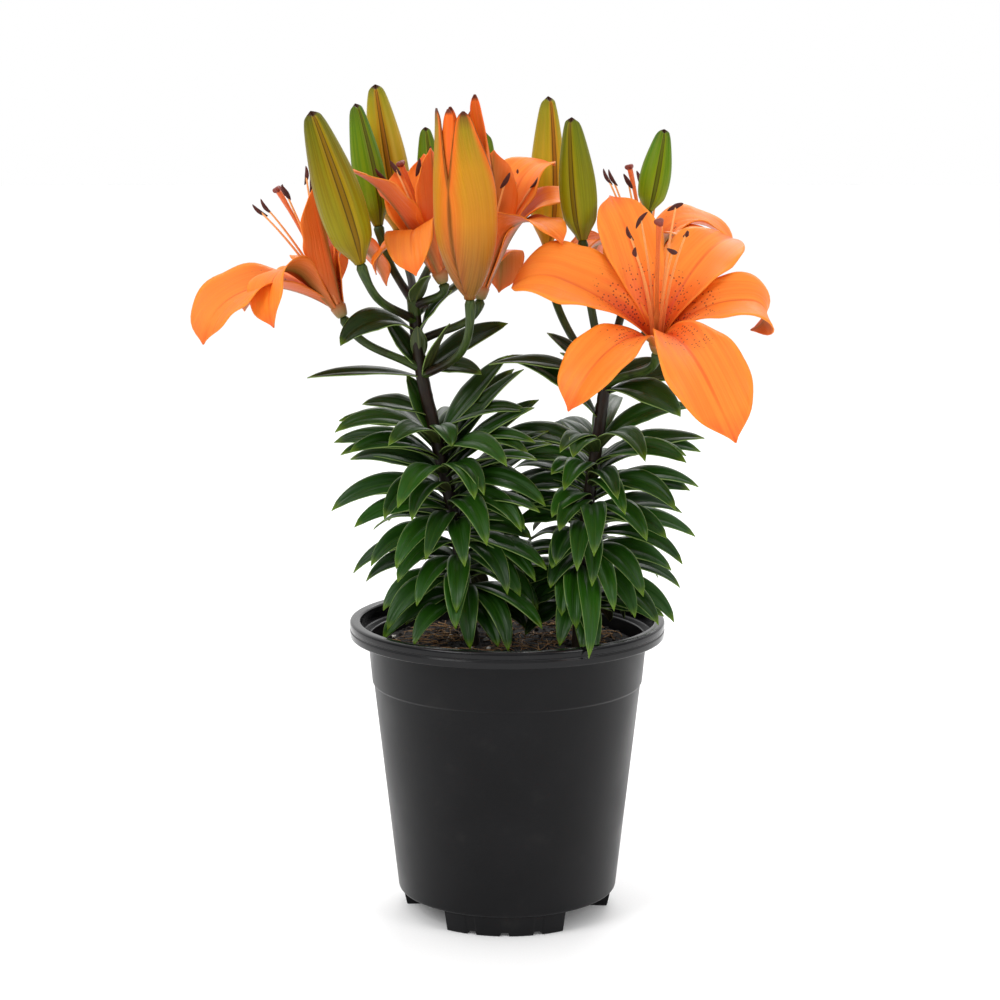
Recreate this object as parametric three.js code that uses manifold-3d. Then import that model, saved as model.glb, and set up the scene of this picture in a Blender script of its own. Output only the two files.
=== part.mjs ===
// A potted asiatic lily: two leafy stems on two bulbs, in soil, in a black nursery pot.
// Millimetres, +Z up. The origin is on the pot's axis, on the surface it stands on; -Y is the front.
// Angles are in degrees. A heading is counted from +X towards +Y, so -90 points to the front.

import * as THREE from "three";
import { mergeVertices } from "three/addons/utils/BufferGeometryUtils.js";
import Module from "manifold-3d";

const wasm = await Module();
wasm.setup();

const gap = 0.3; // between two pieces that touch
const degree = Math.PI / 180;
const up = new THREE.Vector3(0, 0, 1);

// The pot: wall, rolled rim with a groove round it, stacking ledge inside, three feet.
const pot = {
  height: 155.9,
  rimRadius: 82.5,
  lipRadius: 76.9,
  bandHeight: 8.6,
  bandGroove: 0.6,
  wall: 1.6,
  neckRadius: 73.2,
  stepHeight: 122.2,
  stepRadius: 70.9,
  stepIn: 0.8,
  heelRadius: 57.6,
  heelHeight: 11.2,
  floorHeight: 11.2,
  floorThickness: 2,
  ledgeDepth: 8.4,
  ledgeRadius: 71.6,
  sides: 24,
};
const foot = { outer: 56, inner: 41, toe: 53.4, spread: 34, notches: [-19, 0, 19], notchWidth: 5, notchHeight: 1.7 };
const footHeadings = [-91.5, 28.5, 148.5];
const drain = { heading: 60, distance: 49, radius: 6.5 };
const centrePad = { radius: 9, flare: 1 };

// The soil stands a little below the rim and is slightly uneven.
const soil = { level: 142.6, crown: 1.4, lump: 0.8, sides: 18 };

const bulb = { radius: 19, height: 37, neck: 4.4, scaleRelief: 0.07, scales: 5, sides: 10, rows: 5 };

// Each stem's points run from the top of its bulb to its highest node.
const stems = {
  left: {
    radius: 3.7,
    points: [
      [-14, -4, 74],
      [-15.5, -5, 108],
      [-18, -5, 143],
      [-27.3, -1, 207],
      [-36.6, 3, 249],
      [-44.5, 6, 285],
      [-48.8, 8, 322],
    ],
  },
  right: {
    radius: 3.5,
    points: [
      [33, -6, 74],
      [35, -8, 108],
      [36.8, -10, 143],
      [40.7, -8, 207],
      [47.5, -5, 258],
      [51, -4, 286],
    ],
  },
};

// Leaves that a rule sets round a stem: they arch at the top and droop at the bottom.
const leaf = { thickness: 0.8, gutter: 0.2, rows: 3, singleRows: 4, columns: 2, sunk: 2, facing: 40, droop: 24 };
const foliage = {
  left: { count: 27, from: 166, to: 252, length: 61, width: 13, firstHeading: 20, seed: 3 },
  right: { count: 23, from: 164, to: 250, length: 60, width: 13, firstHeading: -75, seed: 71 },
};
const goldenAngle = 137.5;
const middle = { skew: 30, room: 1.2 }; // the plane between the stems, and the room a leaf leaves it

// Leaves and bracts that stand out, each with its height on the stem.
const singleLeaves = {
  left: [
    { height: 282, heading: 186, length: 58, width: 12, rise: 10, fall: -12, roll: -22 },
    { height: 284, heading: -18, length: 32, width: 14, rise: 26, fall: -30, roll: 34 },
    { height: 286, heading: 165, length: 32, width: 13, rise: 62, fall: 48, roll: -26 },
    { height: 306, heading: 200, length: 45, width: 16, rise: 35, fall: -64, roll: -42 },
    { height: 284, heading: 22, length: 52, width: 15, rise: 42, fall: 12, roll: 34 },
    { height: 320, heading: -62, length: 24, width: 11, rise: 58, fall: 20, roll: 16 },
    { height: 305, heading: -8, length: 28, width: 12, rise: 66, fall: 36, roll: 24 },
    { height: 282, heading: -38, length: 34, width: 12, rise: 66, fall: 50, roll: 18 },
    { height: 292, heading: -92, length: 17, width: 9, rise: 84, fall: 74 },
    { height: 250, heading: 10, length: 56, width: 15, rise: 58, fall: 40, roll: 34 },
    { height: 247, heading: 28, length: 58, width: 13, rise: 48, fall: 30, roll: 34 },
    { height: 250, heading: 150, length: 36, width: 14, rise: 72, fall: 58, roll: -26 },
    { height: 174, heading: -43, length: 58, width: 13, rise: 8, fall: -44, roll: 14 },
    { height: 196, heading: -38, length: 60, width: 14, rise: 16, fall: -34, roll: 10 },
    { height: 214, heading: -45, length: 60, width: 13, rise: 28, fall: -24, roll: 20 },
    { height: 230, heading: -36, length: 60, width: 14, rise: 34, fall: -10, roll: 12 },
  ],
  right: [
    { height: 280, heading: -8, length: 28, width: 15, rise: 34, fall: 16, roll: 30 },
    { height: 276, heading: -22, length: 43, width: 18, rise: 14, fall: -54, roll: 38 },
    { height: 240, heading: 2, length: 57, width: 15, rise: 28, fall: -8, roll: 34 },
    { height: 280, heading: 176, length: 60, width: 12, rise: 28, fall: -14, roll: -26 },
    { height: 262, heading: 170, length: 60, width: 15, rise: 55, fall: 4, roll: -34 },
    { height: 282, heading: 150, length: 40, width: 11, rise: 42, fall: 24, roll: -20 },
    { height: 276, heading: 198, length: 30, width: 15, rise: 50, fall: 34, roll: -30 },
    { height: 274, heading: 12, length: 62, width: 14, rise: 24, fall: -4, roll: 28 },
    { height: 186, heading: -86, length: 79, width: 11.5, rise: 4, fall: -66 },
    { height: 182, heading: 142, length: 58, width: 13, rise: 10, fall: -36, roll: -16 },
    { height: 208, heading: 147, length: 60, width: 14, rise: 22, fall: -24, roll: -12 },
    { height: 232, heading: 140, length: 58, width: 13, rise: 34, fall: -6, roll: -16 },
  ],
};

const tepal = { thickness: 0.8, columns: 2 };
const outerTepal = { rows: 5, claw: 3.1, height: 4.5, tubeCup: 0.45, openCup: 0.18, wave: 0.9 };
const innerTepal = { rows: 5, claw: 1.9, height: 4.5, tubeCup: 0.85, openCup: 0.22, wave: 0.9 };
const core = { base: 2.5, top: 4.8, height: 7, sides: 8 };
const stamen = { radius: 0.85, steps: 2, spread: 17, height: 70, anther: 10, antherRadius: 1.5 };
const style = { radius: 1.4, steps: 4, stigma: 2.7 };
const pedicel = { radius: 2.3, steps: 4, sides: 5 };

// A bloom's tepals: heading round its axis from its highest side, length, width, the angle from
// the axis at the claw, at a third, at two thirds and at the tip, and the twist at the tip. Outer
// and inner tepals take turns, an outer one first.
const blooms = {
  bloom_a: {
    base: [-84.5, 0, 313.6],
    axis: [-0.42, -0.05, 0.9],
    from: ["left", 286],
    leave: [-0.8, -0.2, 0.5],
    styleLength: 74,
    tepals: [
      [217, 75, 32, [22, 18, 128, 174], 0],
      [322, 68, 29, [15, 16, 14, 22], 0],
      [22, 70, 26, [18, 20, 160, 190], 0],
      [82, 74, 30, [18, 30, 120, 190], 0],
      [136, 76, 28, [26, 50, 96, 130], 0],
      [188, 90, 38, [28, 52, 96, 150], -40],
    ],
  },
  bloom_b: {
    base: [-32.8, -2, 331],
    axis: [-0.3, -0.12, 0.94],
    from: ["left", 318],
    leave: [0.7, -0.3, 0.6],
    styleLength: 66,
    tepals: [
      [34, 64, 30, [14, 12, 12, 24], 0],
      [84, 62, 28, [14, 14, 20, 40], 0],
      [164, 51, 21, [12, 22, 104, 176], 0],
      [188, 78, 33, [14, 12, 24, 54], -10],
      [234, 68, 26, [12, 18, 122, 172], 0],
      [300, 70, 26, [18, 18, 12, 16], 0],
    ],
  },
  bloom_c: {
    base: [-14.1, 8, 322],
    axis: [0.12, -0.08, 0.98],
    from: ["left", 300],
    leave: [0.8, 0.1, 0.5],
    styleLength: 70,
    tepals: [
      [115, 78, 28, [12, 6, 2, 24], 0],
      [164, 86, 28, [14, 22, 84, 128], 0],
      [213, 82, 34, [14, 18, 44, 156], 12],
      [256, 90, 34, [12, 14, 22, 112], 0],
      [288, 62, 24, [18, 50, 146, 190], 0],
      [20, 74, 28, [14, 12, 4, 10], 0],
    ],
  },
  bloom_d: {
    base: [74.5, -38, 299.5],
    axis: [-0.04, -0.555, 0.832],
    from: ["right", 278],
    leave: [0.6, -0.5, 0.6],
    styleLength: 82,
    tepals: [
      [22, 86, 31, [20, 46, 58, 94], 0],
      [80, 92, 46, [30, 56, 70, 152], 0],
      [144, 86, 34, [22, 68, 104, 146], 10],
      [203, 111, 40, [22, 72, 104, 112], 0],
      [272, 84, 34, [20, 56, 96, 258], 0],
      [325, 81, 38, [20, 54, 80, 124], 0],
    ],
  },
  bloom_e: {
    base: [75, 44, 319],
    axis: [-0.12, 0.02, 0.99],
    from: ["right", 284],
    leave: [0.5, 0.8, 0.5],
    styleLength: 72,
    tepals: [
      [330, 78, 28, [20, 26, 150, 185], 0],
      [25, 86, 36, [18, 34, 120, 200], 30],
      [85, 82, 28, [20, 34, 130, 180], 0],
      [140, 80, 34, [18, 32, 130, 180], 0],
      [205, 76, 28, [20, 26, 150, 185], 0],
      [268, 74, 32, [16, 24, 150, 190], 0],
    ],
  },
};

// The large bud at the front that is just opening: its tepals are still folded, and their tips part.
const openingBud = {
  base: [-18.7, -45, 326.8],
  tip: [-22, -50, 400],
  radius: 15.4,
  from: ["left", 283],
  leave: [0.6, -0.6, 0.3],
  tips: [
    [232, 26, 18, [-3, -5, -6, -8], 0],
    [292, 30, 17, [1, 0, -1, -3], 0],
    [352, 25, 18, [-3, -5, -6, -8], 0],
    [52, 26, 16, [-1, -2, -3, -5], 0],
    [112, 24, 17, [0, -2, -3, -5], 0],
    [172, 25, 16, [-2, -3, -4, -6], 0],
  ],
};
const outerTip = { rows: 2, claw: 11, height: 67, tubeCup: 0.4, openCup: 0.4, wave: 0, taper: 0.85 };
const innerTip = { rows: 2, claw: 9, height: 67, tubeCup: 0.4, openCup: 0.4, wave: 0, taper: 0.85 };

const buds = {
  bud_1: { base: [-73, -41, 344], tip: [-96, -48, 418], radius: 12, from: ["left", 311], leave: [-0.5, -0.7, 0.4] },
  bud_2: { base: [-67, 19, 360], tip: [-78.4, 19, 422], radius: 8.6, from: ["left", 321], leave: [-0.5, 0.3, 0.7] },
  bud_3: { base: [-57.6, 40, 357], tip: [-69.2, 41, 432], radius: 10.8, from: ["left", 322], leave: [0, 0.7, 0.7] },
  bud_4: { base: [-38, 34, 356], tip: [-42.9, 35, 410], radius: 7.4, from: ["left", 320], leave: [0.2, 0.6, 0.8] },
  bud_6: { base: [-13, 46, 352], tip: [-11.2, 48, 407], radius: 8, from: ["left", 314], leave: [0.4, 0.8, 0.4] },
  bud_7: { base: [21.2, 48, 348], tip: [21.5, 50, 426], radius: 9.9, from: ["right", 279], leave: [-0.3, 0.9, 0.4] },
  bud_8: { base: [37.8, -14, 354.5], tip: [32, -18, 415], radius: 9.6, from: ["right", 282], leave: [-0.2, -0.4, 0.9] },
  bud_9: { base: [72.3, 3, 368.5], tip: [79.8, 3, 409], radius: 8.1, from: ["right", 285], leave: [0.2, 0.1, 0.9] },
};
const budShape = { rings: 5, sides: 12, seam: 0.14, foot: 2.4, span: 0.86, top: 0.16 };
const openingShape = { ...budShape, rings: 6, span: 0.62, top: 0.74 };

const colours = {
  blackPlastic: new THREE.MeshStandardMaterial({ color: 0x26272a, roughness: 0.45, metalness: 0 }),
  peat: new THREE.MeshStandardMaterial({ color: 0x35261c, roughness: 0.95, metalness: 0 }),
  bulbScale: new THREE.MeshStandardMaterial({ color: 0xe6dcc0, roughness: 0.6, metalness: 0 }),
  leafGreen: new THREE.MeshStandardMaterial({ color: 0x1f4d1c, roughness: 0.4, metalness: 0 }),
  petalOrange: new THREE.MeshStandardMaterial({ color: 0xf07a26, roughness: 0.55, metalness: 0 }),
  budGreen: new THREE.MeshStandardMaterial({ color: 0x7f9a22, roughness: 0.45, metalness: 0 }),
  budAmber: new THREE.MeshStandardMaterial({ color: 0xd98a22, roughness: 0.5, metalness: 0 }),
};

const vector = (list) => new THREE.Vector3(...list);
const mix = (a, b, t) => a + (b - a) * t;

// The same draw from 0 to 1 for the same number, every time.
function draw(number) {
  const value = Math.sin(number * 12.9898 + 78.233) * 43758.5453;
  return value - Math.floor(value);
}

function heading(angle) {
  return new THREE.Vector3(Math.cos(angle * degree), Math.sin(angle * degree), 0);
}

// A closed mesh becomes a solid that can be joined and cut.
function solidOf(geometry) {
  const bare = new THREE.BufferGeometry().setAttribute("position", geometry.getAttribute("position"));
  bare.setIndex(geometry.index);
  const merged = mergeVertices(bare, 1e-4);
  const faces = [];
  const corners = merged.index.array;
  for (let i = 0; i < corners.length; i += 3) {
    const [a, b, c] = corners.slice(i, i + 3);
    if (a !== b && b !== c && a !== c) {
      faces.push(a, b, c);
    }
  }
  const vertProperties = merged.attributes.position.array;
  return new wasm.Manifold(new wasm.Mesh({ numProp: 3, vertProperties, triVerts: new Uint32Array(faces) }));
}

function meshOf(solid, name, material) {
  const data = solid.getMesh();
  const geometry = new THREE.BufferGeometry();
  geometry.setAttribute("position", new THREE.BufferAttribute(data.vertProperties, 3));
  geometry.setIndex(new THREE.BufferAttribute(data.triVerts, 1));
  const mesh = new THREE.Mesh(geometry, material);
  mesh.name = name;
  return mesh;
}

// Joins solids into one, without the loose crumbs that thin blades can leave where they cross.
function join(solids) {
  const whole = solids.reduce((sum, next) => sum.add(next));
  return whole.decompose().reduce((main, body) => (body.volume() > main.volume() ? body : main));
}

// A turned solid about the Z axis from its profile of radius and height.
function turned(profile, sides) {
  const points = profile.map(([radius, height]) => new THREE.Vector2(radius, height));
  return new THREE.LatheGeometry(points, sides).rotateX(90 * degree);
}

// Moves every vertex of a geometry to where the function puts it.
function warp(geometry, place) {
  const position = geometry.getAttribute("position");
  const point = new THREE.Vector3();
  for (let i = 0; i < position.count; i++) {
    place(point.fromBufferAttribute(position, i));
    position.setXYZ(i, point.x, point.y, point.z);
  }
  return geometry;
}

// Stands a geometry made along +Z on a base, along a direction.
function stand(geometry, base, direction) {
  const turn = new THREE.Quaternion().setFromUnitVectors(up, direction);
  return geometry.applyQuaternion(turn).translate(base.x, base.y, base.z);
}

function tube(curve, radius, sides, steps) {
  const section = new THREE.Shape();
  for (let i = 0; i < sides; i++) {
    const angle = (i / sides) * 2 * Math.PI;
    const point = [radius * Math.cos(angle), radius * Math.sin(angle)];
    if (i === 0) {
      section.moveTo(...point);
    } else {
      section.lineTo(...point);
    }
  }
  return new THREE.ExtrudeGeometry(section, { steps, bevelEnabled: false, extrudePath: curve });
}

// Gives a warped sheet its thickness. Both faces share the sheet's triangles, joined round the rim.
function blade(sheet, columns, rows, thickness) {
  sheet.computeVertexNormals();
  const middle = sheet.getAttribute("position");
  const normal = sheet.getAttribute("normal");
  const count = middle.count;
  const points = new Float32Array(count * 6);
  const point = new THREE.Vector3();
  const offset = new THREE.Vector3();
  for (let i = 0; i < count; i++) {
    point.fromBufferAttribute(middle, i);
    offset.fromBufferAttribute(normal, i).multiplyScalar(thickness / 2);
    points.set([point.x + offset.x, point.y + offset.y, point.z + offset.z], i * 3);
    points.set([point.x - offset.x, point.y - offset.y, point.z - offset.z], (count + i) * 3);
  }
  const faces = [];
  const front = sheet.index.array;
  for (let i = 0; i < front.length; i += 3) {
    const [a, b, c] = front.slice(i, i + 3);
    faces.push(a, b, c, count + c, count + b, count + a);
  }
  const width = columns + 1;
  const rim = [];
  for (let row = 0; row < rows; row++) {
    rim.push(row * width);
  }
  for (let column = 0; column < columns; column++) {
    rim.push(rows * width + column);
  }
  for (let row = rows; row > 0; row--) {
    rim.push(row * width + columns);
  }
  for (let column = columns; column > 0; column--) {
    rim.push(column);
  }
  rim.forEach((p, i) => {
    const q = rim[(i + 1) % rim.length];
    faces.push(q, p, count + p, q, count + p, count + q);
  });
  const closed = new THREE.BufferGeometry();
  closed.setAttribute("position", new THREE.BufferAttribute(points, 3));
  closed.setIndex(faces);
  return closed;
}

// A spine that bends in its own plane: distances out and along, and the angle, at each row.
function spine(angleAt, length, rows) {
  const fine = 8;
  const step = length / (rows * fine);
  const places = [];
  let out = 0;
  let along = 0;
  for (let i = 0; i <= rows * fine; i++) {
    const angle = angleAt(i / (rows * fine)) * degree;
    if (i % fine === 0) {
      places.push({ out, along, angle });
    }
    const next = angleAt((i + 0.5) / (rows * fine)) * degree;
    out += step * Math.sin(next);
    along += step * Math.cos(next);
  }
  return places;
}

// The heights of a stem rise all the way, so the point at a height is found by halving.
function stemPoint(curve, height) {
  let low = 0;
  let high = 1;
  for (let i = 0; i < 16; i++) {
    const middle = (low + high) / 2;
    if (curve.getPoint(middle).z < height) {
      low = middle;
    } else {
      high = middle;
    }
  }
  return curve.getPoint(low);
}

const leafWidth = (s) => Math.sin(Math.PI * (0.09 + 0.88 * s)) ** 0.85;

function leafSpine(one, rows) {
  const angleAt = (s) => 90 - mix(one.rise, one.fall, s ** 1.2);
  return spine(angleAt, one.length, rows);
}

function leafSolid(root, one, rows) {
  const outward = heading(one.heading);
  const side = heading(one.heading + 90);
  const places = leafSpine(one, rows);
  const sheet = new THREE.PlaneGeometry(2, 1, leaf.columns, rows);
  warp(sheet, (point) => {
    const row = Math.round((0.5 - point.y) * rows);
    const { out, along, angle } = places[row];
    const half = (one.width / 2) * leafWidth(row / rows);
    const roll = (one.roll ?? 0) * degree * Math.min(1, (2 * row) / rows);
    const edge = point.x * half;
    const trough = leaf.gutter * Math.abs(edge);
    const across = edge * Math.cos(roll) - trough * Math.sin(roll);
    const lift = edge * Math.sin(roll) + trough * Math.cos(roll);
    const reach = out + leaf.sunk - lift * Math.cos(angle);
    const height = along + lift * Math.sin(angle);
    point.copy(root).addScaledVector(outward, reach).addScaledVector(side, across);
    point.z += height;
  });
  return solidOf(blade(sheet, leaf.columns, rows, leaf.thickness));
}

// A leaf is lifted in small steps until its tip clears the soil, or the rim where it reaches it.
function clearOfPot(root, one) {
  const lifted = { ...one };
  for (let i = 0; i < 30; i++) {
    const clear = leafSpine(lifted, leaf.singleRows).every(({ out, along }) => {
      const point = root.clone().addScaledVector(heading(lifted.heading), out);
      const floor = Math.hypot(point.x, point.y) > pot.lipRadius - 6 ? pot.height + 3 : soil.level + 4.5;
      return out < 8 || root.z + along > floor;
    });
    if (clear) {
      return lifted;
    }
    lifted.fall += 4;
    lifted.rise += 2;
  }
  return lifted;
}

// A leaf that would cross the plane between the stems is turned half aside and kept shorter.
// The plane is skewed, so that leaves of the left stem pass in front of those of the right one.
function keptApart(root, other, one) {
  const between = other.clone().sub(root).setZ(0);
  const room = (between.length() / 2) * Math.cos(middle.skew * degree) - middle.room;
  const facing = Math.atan2(between.y, between.x) / degree + middle.skew;
  const tip = leafSpine(one, leaf.singleRows).reduce((far, { out }) => Math.max(far, out), 0) + leaf.sunk;
  const turn = ((((one.heading - facing + 180) % 360) + 360) % 360) - 180;
  const least = tip > room ? Math.acos(room / tip) / degree + 4 : 0;
  if (Math.abs(turn) >= least) {
    return one;
  }
  const aside = Math.sign(turn || 1) * mix(Math.abs(turn), least, 0.5);
  const share = Math.min(1, room / (tip * Math.cos(aside * degree)));
  return { ...one, heading: facing + aside, length: one.length * share };
}

function ruledLeaves(rule, curve, otherCurve) {
  const leaves = [];
  for (let i = 0; i < rule.count; i++) {
    const t = i / (rule.count - 1);
    const height = mix(rule.from, rule.to, t);
    const root = stemPoint(curve, height);
    const size = 1 + 0.16 * (draw(rule.seed + i) - 0.5) - 0.18 * (1 - t) ** 3;
    const one = {
      heading: rule.firstHeading + i * goldenAngle + 16 * (draw(rule.seed + i + 100) - 0.5),
      length: rule.length * size,
      width: rule.width * (1 + 0.2 * (draw(rule.seed + i + 200) - 0.5)),
      rise: mix(4, 40, t) + 8 * (draw(rule.seed + i + 300) - 0.5),
      fall: mix(-66, -18, t) + 12 * (draw(rule.seed + i + 400) - 0.5),
    };
    one.fall += leaf.droop * Math.min(0, Math.sin(one.heading * degree));
    const placed = keptApart(root, stemPoint(otherCurve, height), one);
    placed.roll = leaf.facing * Math.cos(placed.heading * degree) + 24 * (draw(rule.seed + i + 500) - 0.5);
    leaves.push(leafSolid(root, clearOfPot(root, placed), leaf.rows));
  }
  return leaves;
}

// The frame of a bloom or bud: its axis, and the direction of a heading round it.
function flowerFrame(flower) {
  const base = vector(flower.base);
  const axis = flower.axis ? vector(flower.axis).normalize() : vector(flower.tip).sub(base).normalize();
  const top = up.clone().addScaledVector(axis, -axis.z).normalize();
  const side = axis.clone().cross(top);
  const radial = (angle) =>
    top.clone().multiplyScalar(Math.cos(angle * degree)).addScaledVector(side, Math.sin(angle * degree));
  return { base, axis, radial };
}

function pedicelSolid(curves, flower) {
  const { base, axis } = flowerFrame(flower);
  const [stem, height] = flower.from;
  const start = stemPoint(curves[stem], height);
  const handle = start.distanceTo(base) * 0.4;
  const leave = start.clone().addScaledVector(vector(flower.leave).normalize(), handle);
  const arrive = base.clone().addScaledVector(axis, -handle);
  const curve = new THREE.CubicBezierCurve3(start, leave, arrive, base);
  return solidOf(tube(curve, pedicel.radius, pedicel.sides, pedicel.steps));
}

// A tepal has a narrow claw, is widest at two thirds of its length, and ends in a blunt point.
const tepalWidth = (s) => 0.12 + 0.88 * Math.sin(Math.PI * 0.97 * s ** 1.5);

function angleBetween(angles, s) {
  const place = Math.min(s * 3, 2.999);
  const first = Math.floor(place);
  return mix(angles[first], angles[first + 1], place - first);
}

function tepalSolid(frame, number, [turn, length, width, angles, twist], kind) {
  const outward = frame.radial(turn);
  const side = frame.axis.clone().cross(outward);
  const places = spine((s) => angleBetween(angles, s), length, kind.rows);
  const sheet = new THREE.PlaneGeometry(2, 1, tepal.columns, kind.rows);
  warp(sheet, (point) => {
    const row = Math.round((0.5 - point.y) * kind.rows);
    const s = row / kind.rows;
    const { out, along, angle } = places[row];
    const half = (width / 2) * (kind.taper ? 1 - kind.taper * s ** 1.5 : tepalWidth(s));
    const ripple = kind.wave * Math.sin(row * 2.4 + number * 1.7 + point.x) * s * (1 - s) * 4;
    const cup = mix(kind.tubeCup, kind.openCup, Math.min(1, 1.6 * s));
    const roll = twist * degree * s;
    const edge = point.x * half;
    const trough = (cup * half + ripple) * Math.abs(point.x);
    const across = edge * Math.cos(roll) - trough * Math.sin(roll);
    const lift = edge * Math.sin(roll) + trough * Math.cos(roll);
    const reach = kind.claw + out - lift * Math.cos(angle);
    const height = kind.height + along + lift * Math.sin(angle);
    point.copy(frame.base).addScaledVector(outward, reach);
    point.addScaledVector(frame.axis, height).addScaledVector(side, across);
  });
  return solidOf(blade(sheet, tepal.columns, kind.rows, tepal.thickness));
}

function coreSolid(frame) {
  const cone = new THREE.CylinderGeometry(core.top, core.base, core.height, core.sides).rotateX(90 * degree);
  cone.translate(0, 0, core.height / 2 + gap);
  return solidOf(stand(cone, frame.base, frame.axis));
}

// Six filaments spread from the core, each with an anther across its end.
function stamenSolids(frame, flower) {
  const solids = [];
  for (let i = 0; i < 6; i++) {
    const outward = frame.radial(30 + i * 60 + 14 * (draw(i + flower.base[0]) - 0.5));
    const spread = stamen.spread * (0.75 + 0.5 * draw(i + flower.base[1] + 7));
    const height = stamen.height * (flower.styleLength / 74) * (0.92 + 0.12 * draw(i + flower.base[2]));
    const start = frame.base.clone().addScaledVector(frame.axis, core.height * 0.6).addScaledVector(outward, 2);
    const middle = frame.base.clone().addScaledVector(frame.axis, height * 0.6).addScaledVector(outward, spread * 0.3);
    const end = frame.base.clone().addScaledVector(frame.axis, height).addScaledVector(outward, spread);
    const curve = new THREE.QuadraticBezierCurve3(start, middle, end);
    solids.push(solidOf(tube(curve, stamen.radius, 3, stamen.steps)));
    const along = end.clone().sub(middle).normalize();
    const across = along.clone().cross(outward).normalize();
    const lean = (draw(i + flower.base[0] + 50) - 0.5) * 100 * degree;
    const direction = along.multiplyScalar(Math.cos(lean)).addScaledVector(across, Math.sin(lean)).normalize();
    const half = stamen.anther / 2;
    const profile = [
      [0, -half],
      [stamen.antherRadius, -half * 0.55],
      [stamen.antherRadius, half * 0.55],
      [0, half],
    ];
    solids.push(solidOf(stand(turned(profile, 4), end, direction)));
  }
  return solids;
}

function styleSolid(frame, flower) {
  const length = flower.styleLength;
  const lean = frame.radial(200);
  const start = frame.base.clone().addScaledVector(frame.axis, core.height * 0.5);
  const middle = frame.base.clone().addScaledVector(frame.axis, length * 0.55).addScaledVector(lean, -2);
  const end = frame.base.clone().addScaledVector(frame.axis, length - 1).addScaledVector(lean, 2);
  const curve = new THREE.QuadraticBezierCurve3(start, middle, end);
  const stigma = new THREE.SphereGeometry(style.stigma, 6, 3).scale(1, 1, 0.8).rotateX(90 * degree);
  return join([
    solidOf(tube(curve, style.radius, 4, style.steps)),
    solidOf(stand(stigma, end, frame.axis)),
  ]);
}

function bloomSolid(flower) {
  const frame = flowerFrame(flower);
  const kinds = [outerTepal, innerTepal];
  const tepals = flower.tepals.map((one, i) => tepalSolid(frame, i, one, kinds[i % 2]));
  return join([coreSolid(frame), ...tepals, ...stamenSolids(frame, flower), styleSolid(frame, flower)]);
}

// A closed bud: three outer tepals that meet at seams, so the section has three grooves.
function budGeometry(length, radius, shape) {
  const profile = [[0, gap]];
  for (let i = 0; i <= shape.rings; i++) {
    const s = i / shape.rings;
    const swell = Math.sin(Math.PI * (0.1 + shape.span * s ** 0.8)) ** 0.75;
    profile.push([Math.max(shape.foot * (1 - s), radius * swell), mix(gap, length, s)]);
  }
  profile[1][0] = shape.foot;
  profile[profile.length - 1][0] = radius * shape.top;
  profile.push([0, length]);
  const body = turned(profile, shape.sides);
  const third = shape.sides / 3;
  return warp(body, (point) => {
    const side = Math.round((Math.atan2(point.y, point.x) / (2 * Math.PI)) * shape.sides);
    const deep = ((side % third) + third) % third === 0 && point.z > length * 0.04 && point.z < length * 0.97;
    point.multiply(new THREE.Vector3(deep ? 1 - shape.seam : 1, deep ? 1 - shape.seam : 1, 1));
  });
}

function budSolid(flower, shape) {
  const frame = flowerFrame(flower);
  const length = vector(flower.tip).distanceTo(frame.base);
  return solidOf(stand(budGeometry(length, flower.radius, shape), frame.base, frame.axis));
}

function openingBudSolid() {
  const frame = flowerFrame(openingBud);
  const kinds = [outerTip, innerTip];
  const tips = openingBud.tips.map((one, i) => tepalSolid(frame, i, one, kinds[i % 2]));
  return join([budSolid(openingBud, openingShape), ...tips]);
}

function potProfile() {
  const { height, rimRadius, lipRadius, wall, floorHeight } = pot;
  const band = height - pot.bandHeight;
  const groove = band + pot.bandHeight * 0.5;
  const ledge = height - pot.ledgeDepth;
  const inside = floorHeight + pot.floorThickness;
  return [
    [0, floorHeight],
    [pot.heelRadius - 1.2, floorHeight],
    [pot.heelRadius, pot.heelHeight],
    [pot.stepRadius - pot.stepIn, pot.stepHeight],
    [pot.stepRadius, pot.stepHeight + 0.9],
    [pot.neckRadius, band - 0.6],
    [rimRadius - 0.5, band],
    [rimRadius, band + 0.8],
    [rimRadius, groove - 0.7],
    [rimRadius - pot.bandGroove, groove - 0.3],
    [rimRadius - pot.bandGroove, groove + 0.3],
    [rimRadius, groove + 0.7],
    [rimRadius, height - 0.9],
    [rimRadius - 0.9, height],
    [lipRadius + 0.7, height],
    [lipRadius, height - 0.7],
    [lipRadius - 0.3, ledge + 0.7],
    [pot.ledgeRadius + 0.8, ledge],
    [pot.ledgeRadius, ledge - 0.8],
    [pot.stepRadius - wall, pot.stepHeight + 0.9],
    [pot.stepRadius - pot.stepIn - wall, pot.stepHeight],
    [pot.heelRadius - wall, inside + 1.4],
    [pot.heelRadius - wall - 1.4, inside],
    [0, inside],
  ];
}

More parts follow.
